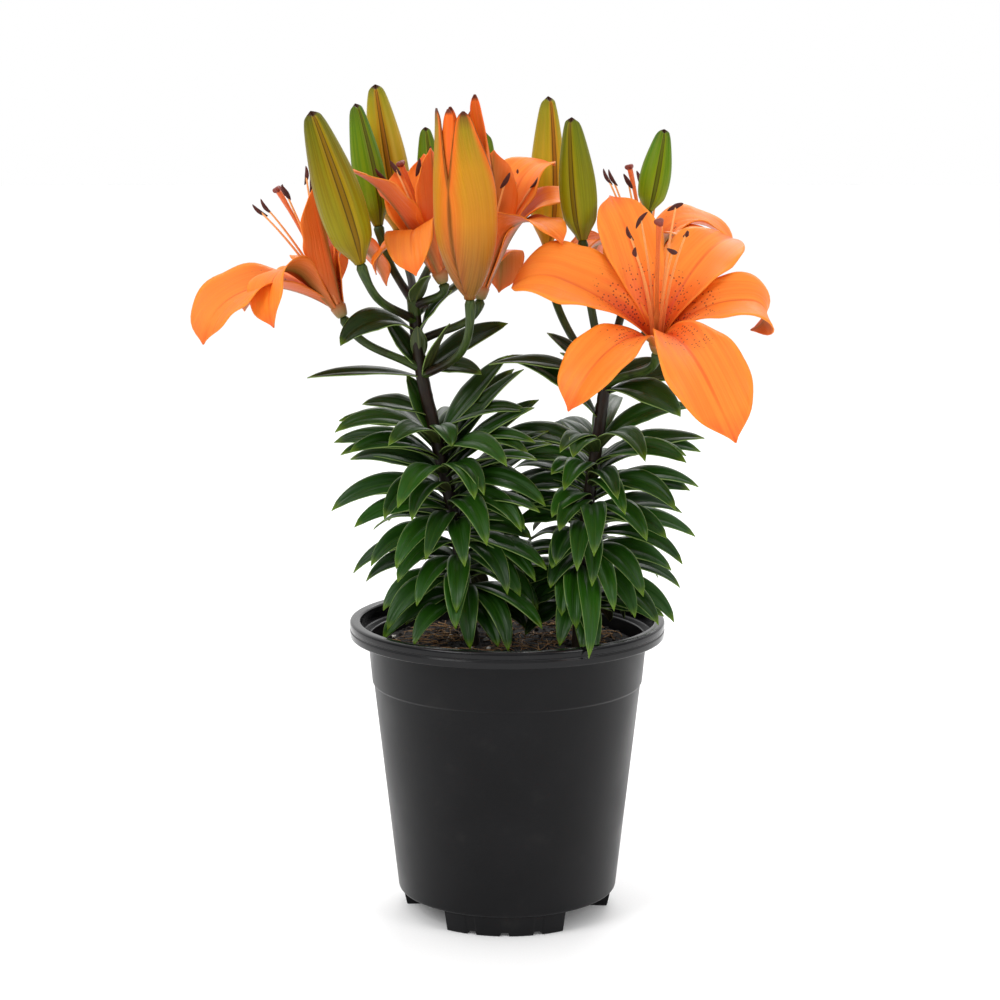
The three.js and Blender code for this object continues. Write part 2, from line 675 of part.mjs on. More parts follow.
// A foot is a sector of a ring that narrows to its toe, with notches cut in its lower edge.
function footSolid(angle) {
  const outline = new THREE.Shape();
  const start = (angle - foot.spread) * degree;
  const end = (angle + foot.spread) * degree;
  outline.absarc(0, 0, foot.outer, start, end, false);
  outline.absarc(0, 0, foot.inner, end, start, true);
  const depth = pot.floorHeight + 0.6;
  const body = new THREE.ExtrudeGeometry(outline, { depth, bevelEnabled: false, curveSegments: 7 });
  warp(body, (point) => {
    const radius = Math.hypot(point.x, point.y);
    const wanted = radius > (foot.outer + foot.inner) / 2 ? mix(foot.toe, foot.outer, point.z / depth) : radius;
    point.x *= wanted / radius;
    point.y *= wanted / radius;
  });
  const notches = foot.notches.map((turn) => {
    const cutter = new THREE.BoxGeometry(foot.outer, foot.notchWidth, foot.notchHeight * 2);
    cutter.translate(foot.outer, 0, 0).rotateZ((angle + turn) * degree);
    return solidOf(cutter);
  });
  return notches.reduce((whole, notch) => whole.subtract(notch), solidOf(body));
}

function potSolid() {
  const feet = footHeadings.map(footSolid);
  const padHeight = pot.floorHeight + 0.6;
  const pad = new THREE.CylinderGeometry(centrePad.radius + centrePad.flare, centrePad.radius, padHeight, 16);
  pad.rotateX(90 * degree).translate(0, 0, padHeight / 2);
  const whole = join([solidOf(turned(potProfile(), pot.sides)), ...feet, solidOf(pad)]);
  const holes = footHeadings.map((angle) => {
    const place = heading(angle + drain.heading).multiplyScalar(drain.distance);
    const hole = new THREE.CylinderGeometry(drain.radius, drain.radius, 3 * pot.floorThickness, 10);
    return solidOf(hole.rotateX(90 * degree).translate(place.x, place.y, pot.floorHeight + 1));
  });
  return holes.reduce((body, hole) => body.subtract(hole), whole);
}

// A bulb of overlapping scales: each row of scales stands over the gaps of the row below.
function bulbGeometry(top, grow) {
  const rows = bulb.rows;
  const profile = [[0, -bulb.height - grow]];
  for (let i = 0; i <= rows; i++) {
    const s = i / rows;
    const swell = Math.sin(Math.PI * (0.14 + 0.72 * s)) ** 0.8;
    profile.push([Math.max(bulb.neck, bulb.radius * swell) + grow, -(bulb.height + grow) * (1 - s)]);
  }
  profile[profile.length - 1][0] = bulb.neck + grow;
  profile[profile.length - 1][1] = grow;
  profile.push([0, grow]);
  const body = turned(profile, bulb.sides);
  warp(body, (point) => {
    const row = Math.round((point.z / bulb.height) * rows);
    const wave = Math.cos(bulb.scales * Math.atan2(point.y, point.x) + row * Math.PI);
    const inner = row === 0 ? 0 : bulb.scaleRelief;
    point.x *= 1 + inner * wave;
    point.y *= 1 + inner * wave;
  });
  return body.translate(top.x, top.y, top.z - gap);
}

function soilSolid(curves) {
  const floor = pot.floorHeight + pot.floorThickness + gap;
  const wall = pot.wall + gap + 0.4;
  const profile = [
    [0, floor],
    [pot.heelRadius - wall - 1.5, floor],
    [pot.heelRadius - wall, floor + 1.5],
    [pot.stepRadius - pot.stepIn - wall - 0.1, pot.stepHeight],
    [pot.ledgeRadius - 1.6, soil.level - 1.6],
    [pot.ledgeRadius - 3.4, soil.level],
    [46, soil.level],
    [22, soil.level],
    [0, soil.level],
  ];
  const body = turned(profile, soil.sides);
  warp(body, (point) => {
    const radius = Math.hypot(point.x, point.y);
    if (point.z >= soil.level - 0.1) {
      const lump = Math.sin(point.x * 0.21 + 1) * Math.cos(point.y * 0.26) + Math.sin(point.x * 0.09 - point.y * 0.13);
      point.z += soil.crown * Math.cos((radius / pot.ledgeRadius) * 90 * degree) + soil.lump * lump * 0.5;
    }
  });
  return Object.entries(curves).reduce((whole, [side, curve]) => {
    const hole = solidOf(tube(curve, (stems[side].radius + gap) / Math.cos(30 * degree), 6, 10));
    const pocket = solidOf(bulbGeometry(vector(stems[side].points[0]), gap));
    return whole.subtract(join([hole, pocket]));
  }, solidOf(body));
}

function leafyStemSolid(side, curves) {
  const otherSide = side === "left" ? "right" : "left";
  const curve = curves[side];
  const single = singleLeaves[side].map((one) => leafSolid(stemPoint(curve, one.height), one, leaf.singleRows));
  const flowers = [...Object.values(blooms), ...Object.values(buds), openingBud];
  const pedicels = flowers.filter((flower) => flower.from[0] === side).map((flower) => pedicelSolid(curves, flower));
  const leaves = ruledLeaves(foliage[side], curve, curves[otherSide]);
  return join([solidOf(tube(curve, stems[side].radius, 6, 10)), ...pedicels, ...leaves, ...single]);
}

const curves = Object.fromEntries(
  Object.entries(stems).map(([side, stem]) => [
    side,
    new THREE.CatmullRomCurve3(stem.points.map(vector), false, "catmullrom", 0.5),
  ]),
);

const lily = new THREE.Group();
lily.add(meshOf(potSolid(), "pot", colours.blackPlastic));
lily.add(meshOf(soilSolid(curves), "soil", colours.peat));
for (const side of ["left", "right"]) {
  const top = vector(stems[side].points[0]);
  lily.add(meshOf(solidOf(bulbGeometry(top, 0)), "bulb_" + side, colours.bulbScale));
  lily.add(meshOf(leafyStemSolid(side, curves), "leafy_stem_" + side, colours.leafGreen));
}
for (const [name, flower] of Object.entries(blooms)) {
  lily.add(meshOf(bloomSolid(flower), name, colours.petalOrange));
}
lily.add(meshOf(openingBudSolid(), "opening_bud", colours.budAmber));
for (const [name, flower] of Object.entries(buds)) {
  lily.add(meshOf(budSolid(flower, budShape), name, colours.budGreen));
}

export default lily;
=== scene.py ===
import math

import bmesh
import bpy
from mathutils import Matrix, Vector, noise


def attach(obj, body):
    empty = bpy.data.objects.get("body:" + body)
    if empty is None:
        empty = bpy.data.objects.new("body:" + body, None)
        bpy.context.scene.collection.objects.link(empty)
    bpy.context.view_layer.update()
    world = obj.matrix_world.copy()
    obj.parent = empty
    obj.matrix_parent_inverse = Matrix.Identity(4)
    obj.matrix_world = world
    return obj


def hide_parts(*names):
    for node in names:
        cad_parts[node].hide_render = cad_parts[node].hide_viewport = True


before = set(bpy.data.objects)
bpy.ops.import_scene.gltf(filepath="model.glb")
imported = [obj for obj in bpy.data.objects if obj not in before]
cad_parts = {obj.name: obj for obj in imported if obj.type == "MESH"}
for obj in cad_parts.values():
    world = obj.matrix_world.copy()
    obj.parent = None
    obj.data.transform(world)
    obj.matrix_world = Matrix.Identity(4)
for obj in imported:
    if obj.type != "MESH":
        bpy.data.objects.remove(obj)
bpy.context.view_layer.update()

mm = 0.001               # the dictionaries are in millimetres and degrees
up = Vector((0, 0, 1))
front = Vector((0, -1, 0))
goldenAngle = 137.5


# Numbers and directions

def mix(a, b, t):
    return a + (b - a) * t


def smooth(low, high, value):
    t = min(1, max(0, (value - low) / (high - low)))
    return t * t * (3 - 2 * t)


def draw(number):        # the same draw from 0 to 1 for the same number, every time
    value = math.sin(number * 12.9898 + 78.233) * 43758.5453
    return value - math.floor(value)


def cosOf(angle):
    return math.cos(math.radians(angle))


def sinOf(angle):
    return math.sin(math.radians(angle))


def heading(angle):
    return Vector((cosOf(angle), sinOf(angle), 0))


def wrapped(angle):      # the same direction, from -180 to 180
    return (angle + 180) % 360 - 180


def colour(red, green, blue):
    parts = [part / 255 for part in (red, green, blue)]
    return [((part + 0.055) / 1.055) ** 2.4 if part > 0.04 else part / 12.92 for part in parts] + [1]


# Curves

def curvePoint(points, t):
    last = len(points) - 1
    place = min(t * last, last - 1e-9)
    first = int(place)
    w = place - first
    b, c = Vector(points[first]), Vector(points[first + 1])
    a = Vector(points[first - 1]) if first > 0 else b * 2 - c
    d = Vector(points[first + 2]) if first + 2 <= last else c * 2 - b
    leave, arrive = (c - a) / 2, (d - b) / 2
    square = c * 3 - b * 3 - leave * 2 - arrive
    cube = b * 2 - c * 2 + leave + arrive
    return b + leave * w + square * w ** 2 + cube * w ** 3


def stemPoint(side, height):     # heights rise along a stem, so the point is found by halving
    points = stems[side]["points"]
    low, high = 0, 1
    for _ in range(16):
        middle = (low + high) / 2
        if curvePoint(points, middle).z < height:
            low = middle
        else:
            high = middle
    return curvePoint(points, low)


def bezier(points, steps):
    made = []
    for i in range(steps + 1):
        row = [Vector(point) for point in points]
        while len(row) > 1:
            row = [a.lerp(b, i / steps) for a, b in zip(row, row[1:])]
        made.append(row[0])
    return made


def spine(angleAt, length, rows):    # a line that bends in its own plane: out, along and angle at each row
    places = []
    out = along = 0
    for i in range(rows + 1):
        places.append((out, along, math.radians(angleAt(i / rows))))
        middle = math.radians(angleAt((i + 0.5) / rows))
        out += length / rows * math.sin(middle)
        along += length / rows * math.cos(middle)
    return places


def angleBetween(angles, s):
    place = min(s * 3, 2.999)
    first = int(place)
    return mix(angles[first], angles[first + 1], place - first)


# Meshes

def newMesh():
    bm = bmesh.new()
    bm.verts.layers.float_vector.new("place")    # where on the blade: across, along and a tone
    bm.verts.layers.float_vector.new("grain")    # the same in millimetres, for veins and freckles
    return bm


def mark(bm, vert, place, grain):
    vert[bm.verts.layers.float_vector["place"]] = place
    vert[bm.verts.layers.float_vector["grain"]] = grain


# A sheet's front is the side that faces its axis or the sky. x runs from -1 to 1 across it, s from 0 to 1
# along it.
def addSheet(bm, columns, rows, placeAt):
    grid = bmesh.ops.create_grid(bm, x_segments=columns, y_segments=rows, size=1)
    for vert in grid["verts"]:
        x, s = -vert.co.x, (vert.co.y + 1) / 2
        vert.co, place, grain = placeAt(x, s)
        mark(bm, vert, place, grain)


# A tube round a line of points, closed at both ends. radiusAt takes the share of the length and the angle.
def addTube(bm, points, sides, radiusAt, tone=0):
    last = len(points) - 1
    tangents = [(points[min(i + 1, last)] - points[max(i - 1, 0)]).normalized() for i in range(last + 1)]
    across = tangents[0].orthogonal().normalized()
    frames = []
    length = 0
    for i, tangent in enumerate(tangents):
        across = (across - tangent * across.dot(tangent)).normalized()
        length += (points[i] - points[i - 1]).length if i else 0
        frames.append((points[i], across.copy(), tangent.cross(across), length))
    rings = last + 2
    grid = bmesh.ops.create_grid(bm, x_segments=sides, y_segments=rings, size=1)
    for vert in grid["verts"]:
        angle = (vert.co.x + 1) * math.pi
        ring = round((vert.co.y + 1) / 2 * rings)
        point, a, b, along = frames[min(max(ring - 1, 0), last)]
        share = along / length
        radius = radiusAt(share, angle) if 0 < ring < rings else 0
        vert.co = point + (a * math.cos(angle) + b * math.sin(angle)) * radius
        mark(bm, vert, (angle / math.pi, share, tone), (angle * radius, along, tone * 50))
    bmesh.ops.remove_doubles(bm, verts=grid["verts"], dist=1e-4)


def addGrain(bm, centre, size, subdivisions, seed, tone=0):      # an uneven lump
    made = bmesh.ops.create_icosphere(bm, subdivisions=subdivisions, radius=1)
    turn = Matrix.Rotation(draw(seed) * math.tau, 3, (draw(seed + 1) - 0.5, draw(seed + 2) - 0.5, 1))
    for vert in made["verts"]:
        uneven = 1 + 0.28 * noise.noise(vert.co * 1.4 + Vector((seed, 0, 0)))
        vert.co = centre + turn @ Vector(vert.co[i] * size[i] * uneven for i in range(3))
        mark(bm, vert, (0, 0, tone), vert.co)


def addKnob(bm, around, along, placeAt):         # a closed lump in the piece's second material
    made = bmesh.ops.create_uvsphere(bm, u_segments=around, v_segments=along, radius=1)
    for vert in made["verts"]:
        vert.co, place = placeAt(*vert.co)
        mark(bm, vert, place, vert.co)
        for face in vert.link_faces:
            face.material_index = 1


def addTurned(bm, profile, steps):
    verts = [bm.verts.new((radius, 0, height)) for radius, height in profile]
    edges = [bm.edges.new(pair) for pair in zip(verts, verts[1:])]
    bmesh.ops.spin(
        bm, geom=verts + edges, cent=(0, 0, 0), axis=(0, 0, 1), dvec=(0, 0, 0),
        angle=math.tau, steps=steps, use_merge=True, use_duplicate=False,
    )
    bmesh.ops.remove_doubles(bm, verts=bm.verts, dist=1e-3)
    bmesh.ops.recalc_face_normals(bm, faces=bm.faces)


def roundCorners(corners, steps=4):      # each corner is radius, height and the size of its rounding
    profile = []
    for i, (radius, height, size) in enumerate(corners):
        corner = Vector((radius, height))
        if size == 0:
            profile.append(corner)
            continue
        before = Vector(corners[i - 1][:2]) - corner
        after = Vector(corners[i + 1][:2]) - corner
        start = corner + before.normalized() * min(size, before.length * 0.45)
        end = corner + after.normalized() * min(size, after.length * 0.45)
        for k in range(steps + 1):
            t = k / steps
            profile.append(start.lerp(corner, t).lerp(corner.lerp(end, t), t))
    return profile


def meshOf(name, bm):
    mesh = bpy.data.meshes.new(name)
    bm.to_mesh(mesh)
    bm.free()
    return mesh


def addObject(name, data):
    made = bpy.data.objects.new(name, data)
    bpy.context.scene.collection.objects.link(made)
    return made


def finishPiece(name, bm, materials, node, thickness=0, sharp=None):
    bmesh.ops.scale(bm, vec=(mm, mm, mm), verts=bm.verts)
    mesh = meshOf(name, bm)
    for material in materials:
        mesh.materials.append(material)
    mesh.polygons.foreach_set("use_smooth", [True] * len(mesh.polygons))
    if sharp:
        mesh.set_sharp_from_angle(angle=math.radians(sharp))
    piece = addObject(name, mesh)
    if thickness:
        wall = piece.modifiers.new("thickness", "SOLIDIFY")
        wall.thickness = thickness * mm
        wall.offset = 0
        wall.material_offset = 1
    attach(piece, "root")
    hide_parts(node)
    return piece


# Shader nodes

def setInputs(tree, node, inputs):
    for key, value in inputs.items():
        if isinstance(value, bpy.types.NodeSocket):
            tree.links.new(value, node.inputs[key])
        else:
            node.inputs[key].default_value = value


def addNode(tree, kind, inputs=None, **settings):
    node = tree.nodes.new("ShaderNode" + kind)
    for name, value in settings.items():
        setattr(node, name, value)
    setInputs(tree, node, inputs or {})
    return node


def calc(tree, operation, a, b=0.0, clamp=False):
    return addNode(tree, "Math", {0: a, 1: b}, operation=operation, use_clamp=clamp).outputs[0]


def times(tree, a, b):
    return calc(tree, "MULTIPLY", a, b)


def blend(tree, factor, a, b):
    return addNode(tree, "Mix", {0: factor, 6: a, 7: b}, data_type="RGBA").outputs[2]


def layered(tree, tint, *layers):        # each layer is where it lies, its share there and its shade
    for where, share, *shade in layers:
        factor = where if share == 1 else times(tree, where, share)
        tint = blend(tree, factor, tint, colour(*shade))
    return tint


def between(tree, value, low, high, toLow=0.0, toHigh=1.0):
    inputs = {0: value, 1: low, 2: high, 3: toLow, 4: toHigh}
    return addNode(tree, "MapRange", inputs, interpolation_type="SMOOTHSTEP").outputs[0]


def ramp(tree, value, *stops):       # each stop is its place and its shade
    node = addNode(tree, "ValToRGB", {0: value})
    elements = node.color_ramp.elements
    for element, stop in ((elements[0], stops[0]), (elements[-1], stops[-1])):
        element.position = stop[0]
        element.color = colour(*stop[1:])
    for position, *shade in stops[1:-1]:
        elements.new(position).color = colour(*shade)
    return node.outputs[0]


def noiseOf(tree, vector, scale, detail=2.0):
    return addNode(tree, "TexNoise", {"Vector": vector, "Scale": scale, "Detail": detail}).outputs[0]


def attributeOf(tree, name):
    node = addNode(tree, "Attribute", attribute_name=name)
    parts = addNode(tree, "SeparateXYZ", {0: node.outputs["Vector"]})
    return node.outputs["Vector"], parts.outputs[0], parts.outputs[1], parts.outputs[2]


def heightOf(tree):
    return addNode(tree, "SeparateXYZ", {0: addNode(tree, "TexCoord").outputs["Object"]}).outputs[2]


# The numbers are the same all over: the specular level, how much light goes in and how deep, in mm.
def newMaterial(name, specular=0.5, softness=0, depth=(0, 0, 0)):
    material = bpy.data.materials.new(name)
    material.use_nodes = True
    tree = material.node_tree
    setInputs(tree, tree.nodes["Principled BSDF"], {
        "Specular IOR Level": specular,
        "Subsurface Weight": softness,
        "Subsurface Radius": [part * mm for part in depth],
    })
    return material, tree


def dress(material, tint, roughness, relief, strength, distance):        # distance is the relief in mm
    tree = material.node_tree
    inputs = {"Height": relief, "Strength": strength, "Distance": distance * mm}
    setInputs(tree, tree.nodes["Principled BSDF"], {
        "Base Color": tint,
        "Roughness": roughness,
        "Normal": addNode(tree, "Bump", inputs).outputs[0],
    })
    return material


# A blade's relief is its veins: lines and a share of the bands, which also change its gloss.
def dressBlade(material, tint, veined, share, smoothest, strength, distance):
    tree = material.node_tree
    lines, bands = veined
    relief = calc(tree, "ADD", lines, times(tree, bands, share))
    roughness = between(tree, bands, 0, 1, smoothest, smoothest + 0.12)
    return dress(material, tint, roughness, relief, strength, distance)


def makeGroup(name, inputs, outputs, fill):
    group = bpy.data.node_groups.new(name, "ShaderNodeTree")
    for kind, socketName, value in inputs:
        socket = group.interface.new_socket(socketName, in_out="INPUT", socket_type="NodeSocket" + kind)
        if value is not None:
            socket.default_value = value
    for socketName in outputs:
        group.interface.new_socket(socketName, in_out="OUTPUT", socket_type="NodeSocketFloat")
    given = group.nodes.new("NodeGroupInput").outputs
    result = group.nodes.new("NodeGroupOutput").inputs
    for i, value in enumerate(fill(group, given)):
        group.links.new(value, result[i])
    return group


# Fine lines and wider bands that run along a blade, from its coordinates in millimetres.
def fillVeins(group, given):
    scale = addNode(group, "CombineXYZ", {0: 1.0, 1: given[2], 2: 1.0}).outputs[0]
    drawn = addNode(group, "VectorMath", {0: given[0], 1: scale}, operation="MULTIPLY").outputs[0]
    lines = noiseOf(group, drawn, given[1], 1.0)
    bands = noiseOf(group, drawn, times(group, given[1], 0.28), 1.0)
    return between(group, lines, 0.36, 0.64), between(group, bands, 0.34, 0.66)


# Slow changes of shade and fine unevenness, from object coordinates in metres.
def fillMottle(group, given):
    coords = addNode(group, "TexCoord").outputs["Object"]
    patches = noiseOf(group, coords, calc(group, "DIVIDE", 1 / mm, given[0]), 3.0)
    specks = noiseOf(group, coords, calc(group, "DIVIDE", 1 / mm, given[1]), 2.0)
    return between(group, patches, 0.3, 0.7), between(group, specks, 0.3, 0.7)


veinsGroup = makeGroup(
    "veins", [("Vector", "Grain", None), ("Float", "Lines per mm", 1.0), ("Float", "Stretch", 0.03)],
    ["Lines", "Bands"], fillVeins,
)
mottleGroup = makeGroup(
    "mottle", [("Float", "Patch mm", 30.0), ("Float", "Speck mm", 1.5)], ["Patches", "Specks"], fillMottle,
)


def mottle(tree, patch, speck):
    node = addNode(tree, "Group", {0: patch, 1: speck}, node_tree=mottleGroup)
    return node.outputs[0], node.outputs[1]


# What the colour of a blade follows: lines, bands, how far aside of its middle, how far along, and its tone.
def veinedBlade(tree, perMm, stretch):
    inputs = {0: attributeOf(tree, "grain")[0], 1: perMm, 2: stretch}
    veins = addNode(tree, "Group", inputs, node_tree=veinsGroup)
    _, x, s, tone = attributeOf(tree, "place")
    return veins.outputs[0], veins.outputs[1], calc(tree, "ABSOLUTE", x), s, tone


print("helpers and shader groups ready")


# Camera, light and floor

camera = {"place": (-3.8, -1200, 414.2), "tilt": 80.73, "lens": 84.1, "sensor": 36}
studio = {
    "room": 0.3,         # light from the room in front, then what the ceiling and the wall behind add to it
    "ceiling": 0.75,
    "wall": 0.6,
    "backdrop": 1.0,     # the plain paper that the camera sees
    "floorRadius": 14,   # m
    "floorGlow": 0.06,
    "lamps": [  # place in m, aim in m, size in m, power in W
        ((-1.5, -1.3, 1.7), (0, 0, 0.25), 1.1, 25),
        ((1.6, -1.2, 1.2), (0, 0, 0.25), 0.9, 12),
        ((0.3, 1.5, 1.5), (0, 0, 0.28), 1.2, 12),
    ],
}


def makeCamera():
    data = bpy.data.cameras.new("camera")
    data.lens = camera["lens"]
    data.sensor_width = camera["sensor"]
    eye = addObject("camera", data)
    eye.location = Vector(camera["place"]) * mm
    eye.rotation_euler = (math.radians(camera["tilt"]), 0, 0)
    bpy.context.scene.camera = eye


def makeRoom():
    world = bpy.data.worlds.new("studio")
    world.use_nodes = True
    tree = world.node_tree
    direction = addNode(tree, "SeparateXYZ", {0: addNode(tree, "TexCoord").outputs["Generated"]})
    ceiling = between(tree, direction.outputs[2], 0.0, 0.9, 0.0, studio["ceiling"])
    wall = between(tree, direction.outputs[1], 0.0, 0.7, 0.0, studio["wall"])
    light = calc(tree, "ADD", calc(tree, "ADD", ceiling, wall), studio["room"])
    seen = addNode(tree, "LightPath").outputs["Is Camera Ray"]
    strength = addNode(tree, "Mix", {0: seen, 2: light, 3: studio["backdrop"]}, data_type="FLOAT").outputs[0]
    setInputs(tree, tree.nodes["Background"], {0: (1, 1, 1, 1), 1: strength})
    bpy.context.scene.world = world
    bpy.context.scene.view_settings.view_transform = "Standard"


def makeLamps():
    for i, (place, aim, size, power) in enumerate(studio["lamps"]):
        data = bpy.data.lights.new(f"softbox{i}", "AREA")
        data.size = size
        data.energy = power
        lamp = addObject(f"softbox{i}", data)
        lamp.location = place
        lamp.rotation_euler = (Vector(aim) - Vector(place)).to_track_quat("-Z", "Y").to_euler()


def makeFloor():
    bm = bmesh.new()
    bmesh.ops.create_circle(bm, cap_ends=True, segments=96, radius=studio["floorRadius"])
    floor = addObject("floor", meshOf("floor", bm))
    material, tree = newMaterial("palePaper")
    fleck = noiseOf(tree, addNode(tree, "TexCoord").outputs["Object"], 900.0)
    setInputs(tree, tree.nodes["Principled BSDF"], {
        "Base Color": ramp(tree, fleck, (0.3, 243.45, 243.45, 243.45), (0.7, 247, 247, 247)),
        "Roughness": 0.9,
        "Emission Color": (1, 1, 1, 1),
        "Emission Strength": studio["floorGlow"],
    })
    floor.data.materials.append(material)


makeCamera()
makeRoom()
makeLamps()
makeFloor()
print("camera, studio and floor ready")


# The pot: wall, rolled rim with a groove, stacking ledge inside, three notched feet and drain holes

pot = {
    "height": 155.9,
    "rimRadius": 82.5,
    "lipRadius": 76.9,
    "bandHeight": 8.6,
    "bandGroove": 0.5,   # its depth, then half its width at the bottom and at the top
    "grooveFoot": 0.35,
    "grooveMouth": 0.8,
    "wall": 1.6,
    "neckRadius": 73.2,
    "stepHeight": 122.2,
    "stepRadius": 70.9,
    "stepIn": 0.8,
    "stepRise": 0.9,
    "heelRadius": 57.6,
    "floorHeight": 11.2,
    "floorThickness": 2,
    "ledgeDepth": 8.4,
    "ledgeRadius": 71.6,
    "steps": 120,
}
feet = {
    "headings": (-91.5, 28.5, 148.5),
    "outer": 56,
    "inner": 41,
    "toe": 53.4,
    "spread": 34,
    "notches": (-19, 0, 19),
    "notchWidth": 5,
    "notchHeight": 1.7,
    "rounding": 0.8,
    "sunk": 0.6,         # how far they reach into the pot's floor
    "steps": 132,
}
footTop = pot["floorHeight"] + feet["sunk"]
drains = {"turn": 60, "distance": 49, "radius": 6.5}
centrePad = {"radius": 9, "flare": 1}


def makePotPlastic(name, specular, smoothest):
    material, tree = newMaterial(name, specular)
    coords = addNode(tree, "TexCoord").outputs["Object"]
    patches, specks = mottle(tree, 34.0, 0.7)
    dust = between(tree, noiseOf(tree, coords, 60.0, 5.0), 0.58, 0.85, 0.0, 0.1)
    tint = layered(tree, colour(11, 11, 13), (patches, 1, 16, 16, 18), (dust, 1, 70, 66, 60))
    satin = between(tree, patches, 0.0, 1.0, smoothest, smoothest + 0.08)
    rough = calc(tree, "ADD", satin, times(tree, dust, 0.5))
    return dress(material, tint, rough, specks, 0.12, 0.12)


def potProfile():
    band = pot["height"] - pot["bandHeight"]
    groove = band + pot["bandHeight"] * 0.5
    ledge = pot["height"] - pot["ledgeDepth"]
    inside = pot["floorHeight"] + pot["floorThickness"]
    rim, lip, cut = pot["rimRadius"], pot["lipRadius"], pot["bandGroove"]
    foot, mouth = pot["grooveFoot"], pot["grooveMouth"]
    step, wall = pot["stepRadius"], pot["wall"]
    stepTop = pot["stepHeight"] + pot["stepRise"]
    return roundCorners([
        (0, pot["floorHeight"], 0),
        (pot["heelRadius"], pot["floorHeight"], 1.8),
        (step - pot["stepIn"], pot["stepHeight"], 0.5),
        (step, stepTop, 0.5),
        (pot["neckRadius"], band - 0.5, 0.6),
        (rim - 0.2, band, 0.8),
        (rim, groove - mouth, 0.3),
        (rim - cut, groove - foot, 0.3),
        (rim - cut, groove + foot, 0.3),
        (rim, groove + mouth, 0.3),
        (rim, pot["height"], 1.6),
        (lip, pot["height"], 1.4),
        (lip - 0.3, ledge, 0.9),
        (pot["ledgeRadius"], ledge, 0.9),
        (step - wall, stepTop, 0.6),
        (step - pot["stepIn"] - wall, pot["stepHeight"], 0.6),
        (pot["heelRadius"] - wall, inside, 1.8),
        (0, inside, 0),
    ])


def cutDrains(piece):
    bm = bmesh.new()
    for angle in feet["headings"]:
        place = heading(angle + drains["turn"]) * drains["distance"]
        place.z = pot["floorHeight"] + pot["floorThickness"] / 2
        bmesh.ops.create_cone(
            bm, cap_ends=True, segments=40, radius1=drains["radius"] * mm, radius2=drains["radius"] * mm,
            depth=3 * pot["floorThickness"] * mm, matrix=Matrix.Translation(place * mm),
        )
    cutter = addObject("cutters", meshOf("cutters", bm))
    cut = piece.modifiers.new("drains", "BOOLEAN")
    cut.operation = "DIFFERENCE"
    cut.solver = "EXACT"
    cut.object = cutter
    cutPiece = piece.evaluated_get(bpy.context.evaluated_depsgraph_get())
    solid = bpy.data.meshes.new_from_object(cutPiece)
    piece.modifiers.clear()
    piece.data = solid
    bpy.data.objects.remove(cutter)


# A foot's section is spun about the pot's axis; its lower edge is raised where a notch is.
def addFoot(bm, angle):
    section = roundCorners([
        (feet["outer"], footTop, 0),
        (feet["toe"], 0, feet["rounding"]),
        (feet["inner"], 0, feet["rounding"]),
        (feet["inner"], footTop, 0),
    ])
    known = set(bm.verts)
    start = Matrix.Rotation(math.radians(angle - feet["spread"]), 3, "Z")
    verts = [bm.verts.new(start @ Vector((radius, 0, height))) for radius, height in section]
    face = bm.faces.new(verts)
    bmesh.ops.spin(
        bm, geom=verts + list(face.edges) + [face], cent=(0, 0, 0), axis=(0, 0, 1), dvec=(0, 0, 0),
        angle=math.radians(2 * feet["spread"]), steps=feet["steps"], use_merge=False, use_duplicate=False,
    )
    halfWidth = math.degrees(feet["notchWidth"] / 2 / feet["outer"])
    for vert in set(bm.verts) - known:
        turn = wrapped(math.degrees(math.atan2(vert.co.y, vert.co.x)) - angle)
        notched = any(abs(turn - notch) < halfWidth for notch in feet["notches"])
        if notched and vert.co.z <= footTop / 2:
            vert.co.z += feet["notchHeight"]


def makePot():
    plastic = makePotPlastic("blackPlastic", 0.15, 0.3)
    rimPlastic = makePotPlastic("rimPlastic", 0.24, 0.1)       # the rim is smoother and catches more light
    bm = newMesh()
    addTurned(bm, potProfile(), pot["steps"])
    for face in bm.faces:
        if face.calc_center_median().z > pot["height"] - pot["bandHeight"] - 0.4:
            face.material_index = 1
    cutDrains(finishPiece("pot_shell", bm, [plastic, rimPlastic], "pot", sharp=50))
    bm = newMesh()
    for angle in feet["headings"]:
        addFoot(bm, angle)
    bmesh.ops.create_cone(
        bm, cap_ends=True, segments=48, radius1=centrePad["radius"],
        radius2=centrePad["radius"] + centrePad["flare"], depth=footTop,
        matrix=Matrix.Translation((0, 0, footTop / 2)),
    )
    bmesh.ops.recalc_face_normals(bm, faces=bm.faces)
    finishPiece("pot_feet", bm, [plastic], "pot", sharp=35)
    print("pot ready")


# The soil: an uneven bed with crumbs, fibres and white grains on it

soil = {
    "level": 142.6,
    "crown": 1.4,
    "lump": 0.8,
    "edge": 67.4,
    "clods": 1.1,
    "room": 7,           # what fibres and grains leave free round a stem
    "fromWall": 0.7,
    "steps": 132,
    "rings": 34,
    "crumbs": 620,
    "fibres": 460,
    "grains": 30,
}


def makeSoilMaterial(name, dark, light, roughness):
    material, tree = newMaterial(name)
    patches, specks = mottle(tree, 9.0, 0.9)
    tone = attributeOf(tree, "place")[3]
    share = calc(tree, "ADD", times(tree, specks, 0.55), times(tree, tone, 0.55), clamp=True)
    tint = layered(tree, colour(*dark), (share, 1, *light), (patches, 0.35, 18, 12, 8))
    return dress(material, tint, roughness, specks, 0.6, 0.5)


